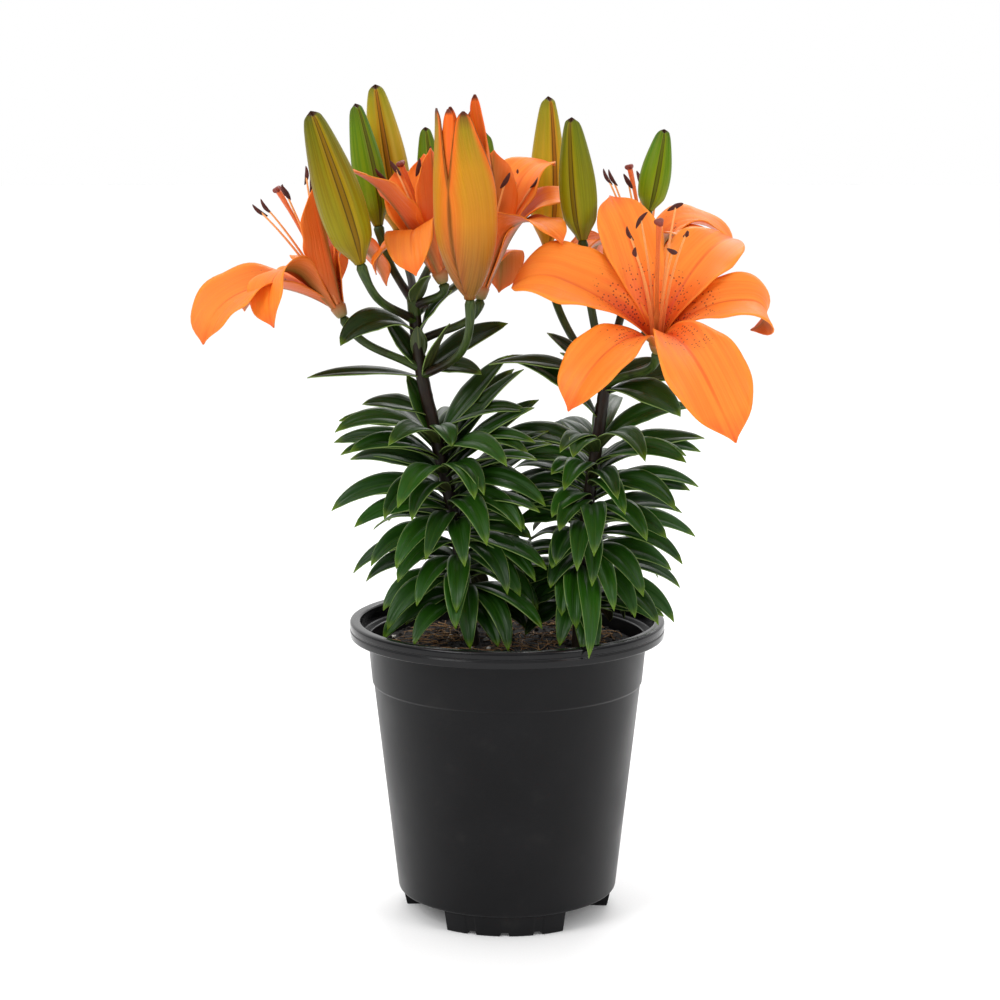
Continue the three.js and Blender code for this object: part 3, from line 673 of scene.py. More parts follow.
def soilHeight(x, y):
    radius = math.hypot(x, y)
    lump = math.sin(x * 0.21 + 1) * math.cos(y * 0.26) + math.sin(x * 0.09 - y * 0.13)
    clod = noise.fractal(Vector((x * 0.16, y * 0.16, 3)), 1.0, 2.1, 4) * soil["clods"]
    slope = smooth(soil["edge"], soil["edge"] - 7, radius)
    crown = soil["crown"] * math.cos(radius / pot["ledgeRadius"] * math.pi / 2)
    return soil["level"] - 1.2 + (crown + soil["lump"] * lump * 0.5 + clod) * slope


def onSoil(number, reach):
    place = heading(draw(number) * 360) * (reach * math.sqrt(draw(number + 0.37)))
    place.z = soilHeight(place.x, place.y)
    return place


def clearOfStems(place, room):
    return all(math.dist(place[:2], stemPoint(side, soil["level"])[:2]) > room for side in stems)


def makeSoilBed(peat):
    floorHeight = pot["floorHeight"] + pot["floorThickness"] + 0.3
    inner = pot["wall"] + soil["fromWall"]
    rings = soil["rings"]
    surface = [(soil["edge"] * (1 - i / rings), soil["level"]) for i in range(rings + 1)]
    profile = [
        (0, floorHeight),
        (pot["heelRadius"] - inner - 1.5, floorHeight),
        (pot["heelRadius"] - inner, floorHeight + 1.5),
        (pot["stepRadius"] - pot["stepIn"] - inner, pot["stepHeight"]),
        (soil["edge"] + 1, soil["level"] - 2.6),
    ]
    bm = newMesh()
    addTurned(bm, profile + surface, soil["steps"])
    for vert in bm.verts:
        if vert.co.z > soil["level"] - 0.1:
            vert.co.z = soilHeight(vert.co.x, vert.co.y)
    finishPiece("soil_bed", bm, [peat], "soil")


def addCrumb(bm, i, place):
    width = mix(0.7, 2.6, draw(i + 0.5) ** 2)
    if clearOfStems(place, 4.5 + width):
        size = (width, width * mix(0.6, 1, draw(i + 0.7)), width * mix(0.4, 0.8, draw(i + 0.9)))
        addGrain(bm, place, size, 1, i * 0.73, draw(i + 0.11))


def addFibre(bm, i, place):
    along = heading(draw(i + 0.21) * 360)
    bend = heading(draw(i + 0.21) * 360 + 90) * mix(-3, 3, draw(i + 0.31))
    reach = mix(3, 9, draw(i + 0.41))
    thin = mix(0.16, 0.4, draw(i + 0.61))
    ends = [place - along * reach, place + bend, place + along * reach]
    for point in ends:
        point.z = soilHeight(point.x, point.y) + 0.4
    ends[1].z += mix(0.4, 3, draw(i + 0.51) ** 2)
    inside = all(math.hypot(point.x, point.y) < soil["edge"] for point in ends)
    if inside and clearOfStems(place, soil["room"]):
        addTube(bm, bezier(ends, 6), 5, lambda share, angle: thin * (1.2 - share), draw(i + 0.71))


def addPerlite(bm, i, place):
    width = mix(0.8, 2.1, draw(i + 0.13))
    if clearOfStems(place, soil["room"]):
        size = (width, width * 0.8, width * 0.7)
        addGrain(bm, place + up * 0.3, size, 2, i * 1.31 + 90, draw(i + 0.17))


def scatter(name, material, count, firstDraw, inset, addOne):
    bm = newMesh()
    for i in range(count):
        addOne(bm, i, onSoil(i + firstDraw, soil["edge"] - inset))
    finishPiece(name, bm, [material], "soil")


def makeSoil():
    peat = makeSoilMaterial("peat", (9, 6, 5), (33, 23, 16), 0.95)
    coir = makeSoilMaterial("coirFibre", (96, 62, 34), (190, 148, 98), 0.85)
    perlite = makeSoilMaterial("perlite", (176, 170, 160), (226, 222, 214), 0.8)
    makeSoilBed(peat)
    scatter("soil_crumbs", peat, soil["crumbs"], 10, 1, addCrumb)
    scatter("soil_fibres", coir, soil["fibres"], 2000, 5, addFibre)
    scatter("perlite_grains", perlite, soil["grains"], 4000, 3, addPerlite)
    print("soil ready")


# The bulbs stay as the frame has them, in the soil, with the finish of fleshy scales

def dressBulbs():
    material, tree = newMaterial("bulbScale")
    patches, specks = mottle(tree, 12.0, 1.2)
    high = between(tree, heightOf(tree), 0.036, 0.075)
    tint = layered(tree, colour(226, 212, 176), (high, 1, 205, 178, 140), (patches, 0.4, 170, 132, 96))
    dress(material, tint, between(tree, specks, 0, 1, 0.5, 0.7), specks, 0.2, 0.3)
    for name in ("bulb_left", "bulb_right"):
        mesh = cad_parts[name].data
        mesh.materials.clear()
        mesh.materials.append(material)
    print("bulbs ready")


# Stems, leaves and flower stalks

stems = {
    "left": {
        "radius": 3.7,
        "points": [(-14, -4, 74), (-15.5, -5, 108), (-18, -5, 143), (-27.3, -1, 207), (-36.6, 3, 249),
                   (-44.5, 6, 285), (-48.8, 8, 322)],
    },
    "right": {
        "radius": 3.5,
        "points": [(33, -6, 74), (35, -8, 108), (36.8, -10, 143), (40.7, -8, 207), (47.5, -5, 258),
                   (51, -4, 286)],
    },
}
leaf = {
    "thickness": 0.5,
    "columns": 8,
    "rows": 26,
    "sunk": 2,           # how far a leaf's root reaches into the stem
    "gutter": 0.2,
    "arch": 0.1,
    "groove": 0.35,
    "wave": 0.35,
    "sway": 0.07,        # the most that a tip bends to one side, as a share of the length
    "wring": 14,
    "facing": 40,        # how far leaves at the sides turn their tops to the front
    "droop": 24,         # how much lower leaves at the front hang
    "rise": (4, 40),     # a ruled leaf's rise at its root and fall at its tip, low on the stem and high
    "fall": (-66, -18),
    "overSoil": 4.5,     # how high it keeps over the soil, and over the rim from a little inside the lip
    "overRim": 3,
    "rimStart": 6,
    "freeRoot": 8,       # the part near the stem that may be lower
    "tries": 30,
}
foliage = {      # rules that set the leaves round each stem; the others of a side fill the gaps of the first
    "left": [
        {"count": 27, "from": 166, "to": 252, "length": 61, "width": 13, "firstHeading": 20, "seed": 3},
        {"count": 32, "from": 162, "to": 250, "length": 58, "width": 12.5, "firstHeading": 88, "seed": 203},
        {"count": 27, "from": 160, "to": 246, "length": 55, "width": 12.5, "firstHeading": 150, "seed": 403},
    ],
    "right": [
        {"count": 23, "from": 164, "to": 250, "length": 60, "width": 13, "firstHeading": -75, "seed": 71},
        {"count": 30, "from": 162, "to": 248, "length": 57, "width": 12.5, "firstHeading": -8, "seed": 271},
        {"count": 26, "from": 160, "to": 244, "length": 53, "width": 12.5, "firstHeading": 60, "seed": 471},
    ],
}
stemGap = {"skew": 30, "room": 1.2}      # the plane between the stems, and the room a leaf leaves it
singleLeaves = {     # height, heading, length, width, rise, fall and roll of the leaves set one by one
    "left": [
        (282, 186, 58, 12, 10, -12, -22),
        (284, -18, 32, 14, 26, -30, 34),
        (286, 165, 32, 13, 62, 48, -26),
        (306, 200, 45, 16, 35, -64, -42),
        (284, 22, 52, 15, 42, 12, 34),
        (320, -62, 24, 11, 58, 20, 16),
        (305, -8, 28, 12, 66, 36, 24),
        (282, -38, 34, 12, 66, 50, 18),
        (292, -92, 17, 9, 84, 74, 0),
        (250, 10, 56, 15, 58, 40, 34),
        (247, 28, 58, 13, 48, 30, 34),
        (250, 150, 36, 14, 72, 58, -26),
        (174, -43, 58, 13, 8, -44, 14),
        (196, -38, 60, 14, 16, -34, 10),
        (214, -45, 60, 13, 28, -24, 20),
        (230, -36, 60, 14, 34, -10, 12),
        (226, -12, 60, 13, 40, 4, 34),
        (232, 14, 62, 13, 50, 22, 38),
        (238, 44, 62, 13, 58, 30, 38),
        (242, -6, 62, 13, 58, 34, 36),
        (216, 32, 58, 13, 40, 8, 34),
        (206, 6, 58, 13, 30, -6, 32),
        (190, 20, 52, 13, 16, -24, 20),
        (178, 40, 50, 13, 10, -30, 10),
        (262, 172, 36, 14, 28, -16, -34),
        (254, 196, 50, 13, 22, -8, -30),
        (256, -64, 26, 13, 20, -62, 10),
        (222, 2, 60, 13, 46, 16, 36),
        (236, -22, 58, 13, 46, 20, 34),
    ],
    "right": [
        (280, -8, 28, 15, 34, 16, 30),
        (276, -22, 43, 18, 14, -54, 38),
        (240, 2, 57, 15, 28, -8, 34),
        (280, 176, 60, 12, 28, -14, -26),
        (262, 170, 60, 15, 55, 4, -34),
        (282, 150, 40, 11, 42, 24, -20),
        (276, 198, 30, 15, 50, 34, -30),
        (274, 12, 62, 14, 24, -4, 28),
        (186, -86, 79, 11.5, 4, -66, 0),
        (182, 142, 58, 13, 10, -36, -16),
        (208, 147, 60, 14, 22, -24, -12),
        (232, 140, 58, 13, 34, -6, -16),
    ],
}


def makeLeafTop():
    material, tree = newMaterial("leafTop", 0.2, 0.05, (0.8, 1.6, 0.3))
    lines, bands, aside, s, tone = veinedBlade(tree, 1.5, 0.03)
    tint = layered(
        tree, colour(14, 44, 4),
        (tone, 1, 34, 78, 10),
        (bands, 0.3, 40, 80, 16),
        (lines, 0.2, 8, 26, 3),
        (between(tree, aside, 0.08, 0.02), 0.45, 52, 86, 28),
        (between(tree, heightOf(tree), 0.235, 0.29), 0.5, 34, 30, 12),       # browner towards the flowers
        (between(tree, s, 0.88, 1.0), 0.6, 112, 140, 30),
        (between(tree, s, 0.14, 0.0), 0.6, 36, 32, 14),
        (between(tree, aside, 0.94, 0.985), 0.85, 130, 156, 84),             # pale margins
    )
    return dressBlade(material, tint, (lines, bands), 0.6, 0.3, 0.3, 0.25)


def makeLeafUnder():
    material, tree = newMaterial("leafUnder")
    lines, bands, aside, _, tone = veinedBlade(tree, 1.2, 0.03)
    tint = layered(
        tree, colour(52, 50, 16),
        (tone, 1, 46, 66, 18),
        (lines, 0.4, 76, 86, 36),
        (between(tree, aside, 0.14, 0.04), 0.6, 92, 100, 46),
        (between(tree, aside, 0.93, 0.985), 0.5, 104, 128, 58),
    )
    return dress(material, tint, between(tree, bands, 0, 1, 0.48, 0.6), lines, 0.35, 0.3)


def makeStemSkin():
    material, tree = newMaterial("stemSkin", 0.3)
    lines, bands, _, _, tone = veinedBlade(tree, 1.6, 0.08)
    patches, specks = mottle(tree, 7.0, 0.6)
    purple = layered(tree, colour(20, 8, 5), (lines, 0.6, 44, 26, 14), (patches, 0.25, 34, 38, 12))
    green = layered(tree, colour(36, 54, 12), (lines, 0.5, 74, 92, 32))
    tint = blend(tree, between(tree, tone, 0.02, 0.75), purple, green)
    return dress(material, tint, between(tree, bands, 0, 1, 0.36, 0.52), specks, 0.15, 0.2)


def leafWidth(s):
    point = math.sqrt(max(0.0, 1 - smooth(0.9, 1.0, s) ** 1.6))
    return math.sin(math.pi * (0.09 + 0.88 * s ** 0.9)) ** 0.9 * max(0.05, point)


def leafSpine(one, rows):
    return spine(lambda s: 90 - mix(one["rise"], one["fall"], s ** 1.2), one["length"], rows)


def addLeaf(bm, root, one, seed):
    outward = heading(one["heading"])
    side = heading(one["heading"] + 90)
    places = leafSpine(one, leaf["rows"])
    sway = mix(-leaf["sway"], leaf["sway"], draw(seed + 7.1)) * one["length"]
    wring = math.radians(mix(-leaf["wring"], leaf["wring"], draw(seed + 8.3)))
    tone = draw(seed + 9.7)

    def placeAt(x, s):
        out, along, angle = places[round(s * leaf["rows"])]
        half = one["width"] / 2 * leafWidth(s)
        roll = math.radians(one["roll"]) * min(1, 2 * s) + wring * s * s
        edge = x * half
        trough = leaf["gutter"] * abs(edge) + leaf["arch"] * half * math.sin(math.pi * abs(x))
        trough += leaf["wave"] * math.sin(9 * s + seed * 2.3 + 2 * x) * abs(x) * math.sin(math.pi * s)
        trough -= leaf["groove"] * max(0.0, 1 - abs(x) * 6) * math.sin(math.pi * s)
        across = edge * math.cos(roll) - trough * math.sin(roll) + sway * s ** 2.5
        lift = edge * math.sin(roll) + trough * math.cos(roll)
        point = root + outward * (out + leaf["sunk"] - lift * math.cos(angle)) + side * across
        point.z += along + lift * math.sin(angle)
        return point, (x, s, tone), (edge, s * one["length"], seed)

    addSheet(bm, leaf["columns"], leaf["rows"], placeAt)


# A leaf is lifted in small steps until it clears the soil, or the rim where it reaches it.
def clearOfPot(root, one):
    outward = heading(one["heading"])
    for _ in range(leaf["tries"]):
        clear = True
        for out, along, _ in leafSpine(one, 16):
            point = root + outward * out
            overRim = math.hypot(point.x, point.y) > pot["lipRadius"] - leaf["rimStart"]
            lowest = pot["height"] + leaf["overRim"] if overRim else soil["level"] + leaf["overSoil"]
            clear = clear and (out < leaf["freeRoot"] or root.z + along > lowest)
        if clear:
            return one
        one["fall"] += 4
        one["rise"] += 2
    return one


# A leaf that would cross the plane between the stems is turned half aside and kept shorter.
def keptApart(root, other, one):
    gap = (other - root) * Vector((1, 1, 0))
    room = gap.length / 2 * cosOf(stemGap["skew"]) - stemGap["room"]
    facing = math.degrees(math.atan2(gap.y, gap.x)) + stemGap["skew"]
    tip = max(out for out, _, _ in leafSpine(one, 4)) + leaf["sunk"]
    turn = wrapped(one["heading"] - facing)
    least = math.degrees(math.acos(room / tip)) + 4 if tip > room else 0
    if abs(turn) < least:
        aside = math.copysign(mix(abs(turn), least, 0.5), turn)
        one["length"] *= min(1, room / (tip * cosOf(aside)))
        one["heading"] = facing + aside
    return one


def addRuledLeaves(bm, side, rule):
    otherSide = "right" if side == "left" else "left"
    for i in range(rule["count"]):
        t = i / (rule["count"] - 1)
        height = mix(rule["from"], rule["to"], t)
        seed = rule["seed"] + i
        root = stemPoint(side, height)
        one = {
            "heading": rule["firstHeading"] + i * goldenAngle + 16 * (draw(seed + 100) - 0.5),
            "length": rule["length"] * (1 + 0.16 * (draw(seed) - 0.5) - 0.18 * (1 - t) ** 3),
            "width": rule["width"] * (1 + 0.2 * (draw(seed + 200) - 0.5)),
            "rise": mix(*leaf["rise"], t) + 8 * (draw(seed + 300) - 0.5),
            "fall": mix(*leaf["fall"], t) + 12 * (draw(seed + 400) - 0.5),
        }
        one["fall"] += leaf["droop"] * min(0, sinOf(one["heading"]))
        one = clearOfPot(root, keptApart(root, stemPoint(otherSide, height), one))
        one["roll"] = leaf["facing"] * cosOf(one["heading"]) + 24 * (draw(seed + 500) - 0.5)
        addLeaf(bm, root, one, seed)


pedicel = {"radius": 2.3, "flare": 1.3, "steps": 26, "sides": 18}
stemShape = {"steps": 150, "sides": 28, "taper": 0.12, "knob": 0.035}


def addPedicel(bm, flower):
    base, axis, _ = flowerFrame(flower)
    side, height = flower["from"]
    start = stemPoint(side, height)
    handle = (base - start).length * 0.4
    leave = start + Vector(flower["leave"]).normalized() * handle
    line = bezier([start, leave, base - axis * handle, base], pedicel["steps"])

    def radiusAt(share, angle):      # a little thicker at the stem and under the flower, with three ribs
        foot = 0.14 * smooth(0.3, 0.0, share)
        flare = (pedicel["flare"] - 1) * smooth(0.8, 0.97, share) - 0.45 * smooth(0.975, 1, share)
        return pedicel["radius"] * (1 + 0.03 * math.cos(3 * angle)) * (0.92 + foot + flare)

    layer = bm.verts.layers.float_vector["place"]
    known = len(bm.verts)
    addTube(bm, line, pedicel["sides"], radiusAt, 1)
    bm.verts.ensure_lookup_table()
    for vert in bm.verts[known:]:
        x, share, _ = vert[layer]
        vert[layer] = (x, share, smooth(0.05, 0.9, share))       # purple at the stem, green at the flower


def makeStem(side, skin, leafMaterials):
    stem = stems[side]
    steps = stemShape["steps"]
    line = [curvePoint(stem["points"], i / steps) for i in range(steps + 1)]

    def radiusAt(share, angle):      # thinner upwards, with the leaves' knobs winding round its upper part
        knobs = stemShape["knob"] * max(0.0, math.cos(share * 260 + angle)) * smooth(0.35, 0.45, share)
        return stem["radius"] * (1 - stemShape["taper"] * share + knobs)

    bm = newMesh()
    addTube(bm, line, stemShape["sides"], radiusAt)
    for flower in flowersOn(side):
        addPedicel(bm, flower)
    finishPiece(f"stem_{side}", bm, [skin], f"leafy_stem_{side}")

    bm = newMesh()
    for rule in foliage[side]:
        addRuledLeaves(bm, side, rule)
    names = ("heading", "length", "width", "rise", "fall", "roll")
    firstSeed = 31 if side == "left" else 59
    for i, (height, *values) in enumerate(singleLeaves[side]):
        addLeaf(bm, stemPoint(side, height), dict(zip(names, values)), i + firstSeed)
    finishPiece(f"leaves_{side}", bm, leafMaterials, f"leafy_stem_{side}", leaf["thickness"])
    print(f"stem and leaves on the {side} ready")


# Blooms. A tepal has its heading round the axis from the highest side, length, width, the angle from the axis
# at the claw, at a third, at two thirds and at the tip, and its twist. Outer and inner ones take turns, an
# outer one first.

blooms = {
    "bloom_a": {
        "base": (-84.5, 0, 313.6), "axis": (-0.42, -0.05, 0.9), "from": ("left", 286),
        "leave": (-0.8, -0.2, 0.5), "styleLength": 74,
        "tepals": [
            (217, 75, 32, (22, 18, 128, 174), 0),
            (322, 68, 29, (15, 16, 14, 22), 0),
            (22, 70, 26, (18, 20, 160, 190), 0),
            (82, 74, 30, (18, 30, 120, 190), 0),
            (136, 76, 28, (26, 50, 96, 130), 0),
            (188, 90, 38, (28, 52, 96, 150), -40),
        ],
    },
    "bloom_b": {
        "base": (-32.8, -2, 331), "axis": (-0.3, -0.12, 0.94), "from": ("left", 318),
        "leave": (0.7, -0.3, 0.6), "styleLength": 66,
        "tepals": [
            (34, 64, 30, (14, 12, 12, 24), 0),
            (84, 62, 28, (14, 14, 20, 40), 0),
            (164, 51, 21, (12, 22, 104, 176), 0),
            (188, 78, 33, (14, 12, 24, 54), -10),
            (234, 68, 26, (12, 18, 122, 172), 0),
            (300, 70, 26, (18, 18, 12, 16), 0),
        ],
    },
    "bloom_c": {
        "base": (-14.1, 8, 322), "axis": (0.12, -0.08, 0.98), "from": ("left", 300),
        "leave": (0.8, 0.1, 0.5), "styleLength": 70,
        "tepals": [
            (115, 78, 28, (12, 6, 2, 24), 0),
            (164, 86, 28, (14, 22, 84, 128), 0),
            (213, 82, 34, (14, 18, 44, 156), 12),
            (256, 90, 34, (12, 14, 22, 112), 0),
            (288, 62, 24, (18, 50, 146, 190), 0),
            (20, 74, 28, (14, 12, 4, 10), 0),
        ],
    },
    "bloom_d": {
        "base": (74.5, -38, 299.5), "axis": (-0.04, -0.555, 0.832), "from": ("right", 278),
        "leave": (0.6, -0.5, 0.6), "styleLength": 82, "antherLean": 150,
        "tepals": [
            (22, 86, 31, (20, 46, 58, 94), 0),
            (80, 92, 46, (30, 56, 70, 152), 0),
            (144, 86, 34, (22, 68, 104, 146), 10),
            (203, 111, 40, (22, 72, 104, 112), 0),
            (272, 84, 34, (20, 56, 96, 258), 0),
            (325, 81, 38, (20, 54, 80, 124), 0),
        ],
    },
    "bloom_e": {
        "base": (75, 44, 319), "axis": (-0.12, 0.02, 0.99), "from": ("right", 284),
        "leave": (0.5, 0.8, 0.5), "styleLength": 72,
        "tepals": [
            (330, 78, 28, (20, 26, 150, 185), 0),
            (25, 86, 36, (18, 34, 120, 200), 30),
            (85, 82, 28, (20, 34, 130, 180), 0),
            (140, 80, 34, (18, 32, 130, 180), 0),
            (205, 76, 28, (20, 26, 150, 185), 0),
            (268, 74, 32, (16, 24, 150, 190), 0),
        ],
    },
}
tepal = {
    "thickness": 0.55,
    "columns": 16,
    "rows": 40,
    "claw": 4.5,
    "reach": 0.962,      # a little shorter than its solid, so that the frills stay inside the solids' box
    "wave": 0.9,
    "waveTurn": 12,      # how far its phase turns along the tepal, in radians
    "frill": 0.7,
    "frillTurn": 26,
    "rib": 0.55,
}
tepalKinds = [   # outer, then inner
    {"claw": 3.1, "tubeCup": 0.45, "openCup": 0.18},
    {"claw": 1.9, "tubeCup": 0.85, "openCup": 0.22},
]
throat = {"base": 2.6, "top": 4.6, "height": 7, "steps": 10, "sides": 24}
stamen = {"radius": 0.85, "spread": 17, "height": 70, "anther": 10, "antherWidth": 1.3, "antherLean": 60}
pistil = {"radius": 1.0, "stigma": 2.3}


def flowerFrame(flower, towards=up):         # radial(0) points that way, square to the axis
    base = Vector(flower["base"])
    axis = (Vector(flower["axis"]) if "axis" in flower else Vector(flower["tip"]) - base).normalized()
    top = (towards - axis * towards.dot(axis)).normalized()
    side = axis.cross(top)

    def radial(angle):
        return top * cosOf(angle) + side * sinOf(angle)

    return base, axis, radial


def flowersOn(side):
    everyFlower = [*blooms.values(), *buds.values(), openingBud]
    return [flower for flower in everyFlower if flower["from"][0] == side]


def frecklesOf(tree, aside, s):          # dark freckles on both sides of the midrib, low on the tepal
    _, across, along, number = attributeOf(tree, "grain")
    place = addNode(tree, "CombineXYZ", {0: calc(tree, "ADD", across, number), 1: along}).outputs[0]
    inputs = {"Vector": place, "Scale": 0.55, "Randomness": 0.9}
    cells = addNode(tree, "TexVoronoi", inputs, voronoi_dimensions="2D")
    chance = addNode(tree, "SeparateColor", {0: cells.outputs["Color"]}).outputs[0]
    seen = calc(tree, "GREATER_THAN", chance, between(tree, s, 0.2, 0.48, 0.25, 0.75))
    spot = times(tree, between(tree, cells.outputs["Distance"], 0.26, 0.17), seen)
    zone = times(tree, between(tree, s, 0.07, 0.12), between(tree, s, 0.52, 0.42))
    return times(tree, spot, times(tree, zone, between(tree, aside, 0.8, 0.66)))


def makePetalFront():
    material, tree = newMaterial("petalFront", 0.3, 0.1, (3, 1.2, 0.4))
    lines, bands, aside, s, _ = veinedBlade(tree, 1.3, 0.02)
    flush = times(tree, between(tree, aside, 0.6, 0.1), between(tree, s, 0.52, 0.14))
    rib = times(tree, between(tree, aside, 0.07, 0.01), between(tree, s, 0.95, 0.6))
    freckles = frecklesOf(tree, aside, s)
    along = ramp(
        tree, s, (0, 190, 118, 50), (0.07, 206, 84, 24), (0.22, 228, 92, 24), (0.5, 238, 123, 30),
        (0.85, 238, 123, 30), (1, 222, 84, 24),
    )
    tint = layered(
        tree, along,
        (bands, 0.3, 245, 153, 54),
        (lines, 0.14, 216, 78, 6),
        (flush, 0.8, 200, 56, 10),
        (rib, 0.55, 208, 66, 8),
        (between(tree, aside, 0.82, 1.0), 0.35, 252, 156, 44),
        (freckles, 0.9, 104, 22, 14),
    )
    relief = calc(tree, "ADD", times(tree, lines, 0.5), times(tree, freckles, 1.2))
    relief = calc(tree, "ADD", relief, times(tree, bands, 0.8))
    return dress(material, tint, between(tree, bands, 0, 1, 0.46, 0.58), relief, 0.35, 0.35)


def makePetalBack():
    material, tree = newMaterial("petalBack", 0.3, 0.1, (3, 1.2, 0.4))
    lines, bands, aside, s, kind = veinedBlade(tree, 1.4, 0.02)
    outer = ramp(tree, aside, (0, 138, 96, 36), (0.3, 176, 98, 36), (0.7, 216, 104, 32), (1, 234, 112, 30))
    inner = ramp(tree, aside, (0, 150, 84, 28), (0.2, 220, 92, 24), (1, 238, 112, 30))
    tint = layered(
        tree, blend(tree, kind, inner, outer),
        (between(tree, s, 0.5, 0.0), 0.5, 128, 70, 26),
        (between(tree, s, 0.55, 1.0), 0.4, 232, 112, 40),
        (lines, 0.12, 230, 146, 78),
        (between(tree, aside, 0.1, 0.02), 0.3, 118, 110, 40),
    )
    return dressBlade(material, tint, (lines, bands), 0.6, 0.4, 0.35, 0.3)


def makeFlowerPart(name, low, high, roughness, strength):        # a soft part whose colour changes along it
    material, tree = newMaterial(name)
    specks = mottle(tree, 3.0, 0.4)[1]
    tint = blend(tree, attributeOf(tree, "place")[2], colour(*low), colour(*high))
    shade = [part * 0.6 for part in colour(*high)[:3]] + [1]
    tint = blend(tree, times(tree, specks, 0.4), tint, shade)
    return dress(material, tint, roughness, specks, strength, 0.25)


def tepalWidth(s):
    point = math.sqrt(max(0.004, 1 - smooth(0.82, 1.0, s) ** 2.4))
    return (0.12 + 0.88 * math.sin(math.pi * 0.97 * s ** 1.5)) * point


def addTepal(bm, flower, number):
    base, axis, radial = flowerFrame(flower)
    turn, length, width, angles, twist = flower["tepals"][number]
    kind = tepalKinds[number % 2]
    outward = radial(turn)
    side = axis.cross(outward)
    rows = tepal["rows"]
    places = spine(lambda s: angleBetween(angles, s), length * tepal["reach"], rows)
    phase = number * 1.7

    def placeAt(x, s):
        out, along, angle = places[round(s * rows)]
        half = width / 2 * tepalWidth(s)
        swing = math.sin(tepal["waveTurn"] * s + phase + x) * s * (1 - s) * 4
        cup = mix(kind["tubeCup"], kind["openCup"], min(1, 1.6 * s))
        roll = math.radians(twist) * s
        edge = x * half
        trough = (cup * half + tepal["wave"] * swing) * abs(x) ** 1.3
        frill = tepal["frill"] * math.sin(tepal["frillTurn"] * s + phase * 2 + 3 * x) * abs(x) ** 5
        trough += frill * smooth(0.25, 0.5, s) * smooth(1, 0.9, s)
        trough -= tepal["rib"] * max(0.0, 1 - abs(x) * 7) * math.sin(math.pi * min(1, s * 1.05)) ** 0.5
        across = edge * math.cos(roll) - trough * math.sin(roll)
        lift = edge * math.sin(roll) + trough * math.cos(roll)
        reach = kind["claw"] + out - lift * math.cos(angle)
        height = tepal["claw"] + along + lift * math.sin(angle)
        point = base + outward * reach + axis * height + side * across
        return point, (x, s, 1 - number % 2), (edge, s * length, number * 37 + base.x)

    addSheet(bm, tepal["columns"], rows, placeAt)


def addTepals(bm, flower):
    for number in range(6):
        addTepal(bm, flower, number)


def addAnther(bm, centre, direction, across):        # a crescent of two lobes
    third = direction.cross(across).normalized()
    half = stamen["anther"] / 2

    def placeAt(x, y, z):
        groove = 1 - 0.3 * max(0.0, 1 - abs(x) * 3) * (1 if y > 0 else 0.6)
        bow = 1.1 * (z * z - 0.4)
        wide = stamen["antherWidth"] * (1 - 0.25 * abs(z))
        place = centre + direction * (z * half) + third * (x * wide)
        return place + across * (y * wide * 0.75 * groove - bow), (x, (z + 1) / 2, 0)

    addKnob(bm, 14, 12, placeAt)


def filamentRadius(share, angle):
    return stamen["radius"] * mix(1, 0.55, share) * (1 - 0.3 * smooth(0.96, 1, share))


def addStamens(bm, flower):
    base, axis, radial = flowerFrame(flower)
    swing = flower.get("antherLean", stamen["antherLean"])
    for i in range(6):
        outward = radial(30 + i * 60 + 14 * (draw(i + base.x) - 0.5))
        spread = stamen["spread"] * (0.75 + 0.5 * draw(i + base.y + 7))
        height = stamen["height"] * (flower["styleLength"] / 74) * (0.92 + 0.12 * draw(i + base.z))
        start = base + axis * throat["height"] * 0.6 + outward * 2
        bend = base + axis * height * 0.6 + outward * spread * 0.3
        end = base + axis * height + outward * spread
        addTube(bm, bezier([start, bend, end], 24), 10, filamentRadius)
        along = (end - bend).normalized()
        across = along.cross(outward).normalized()
        lean = math.radians((draw(i + base.x + 50) - 0.5) * swing)
        direction = (along * math.cos(lean) + across * math.sin(lean)).normalized()
        facing = (outward - direction * outward.dot(direction)).normalized()
        addAnther(bm, end, direction, facing)


def addPistil(bm, flower):
    base, axis, radial = flowerFrame(flower)
    length = flower["styleLength"]
    lean = radial(200)
    start = base + axis * throat["height"] * 0.5
    bend = base + axis * length * 0.55 - lean * 2
    end = base + axis * (length - 1) + lean * 2
    along = (end - bend).normalized()
    across = along.orthogonal().normalized()
    third = along.cross(across)

    def radiusAt(share, angle):      # the ovary at the foot, then the style, a little thicker at its end
        ovary = 1.3 * smooth(0.3, 0.2, share)
        return (pistil["radius"] + ovary + 0.45 * smooth(0.75, 1, share)) * (1 + 0.05 * math.cos(3 * angle))

    def placeAt(x, y, z):            # the stigma has three lobes and a dent
        wide = pistil["stigma"] * (1 + 0.16 * math.cos(3 * math.atan2(y, x)))
        dent = 0.35 * max(0.0, z) * (1 - math.hypot(x, y))
        high = (z * 0.8 - dent) * pistil["stigma"]
        return end + across * (x * wide) + third * (y * wide) + along * high, (x, 1, 0)

    addTube(bm, bezier([start, bend, end], 30), 15, radiusAt)
    addKnob(bm, 36, 14, placeAt)


def addThroat(bm, flower):       # the short cup that the tepals grow from
    base, axis, _ = flowerFrame(flower)
    steps = throat["steps"]
    line = [base + axis * (0.3 + throat["height"] * i / steps) for i in range(steps + 1)]

    def radiusAt(share, angle):
        return mix(throat["base"], throat["top"], share ** 0.7) * (1 - 0.25 * smooth(0.75, 1, share))

    addTube(bm, line, throat["sides"], radiusAt)


bloomParts = [       # name, what makes it, its materials and its thickness
    ("tepals", addTepals, ("front", "back"), tepal["thickness"]),
    ("stamens", addStamens, ("filament", "anther"), 0),
    ("pistil", addPistil, ("style", "stigma"), 0),
    ("throat", addThroat, ("throat",), 0),
]


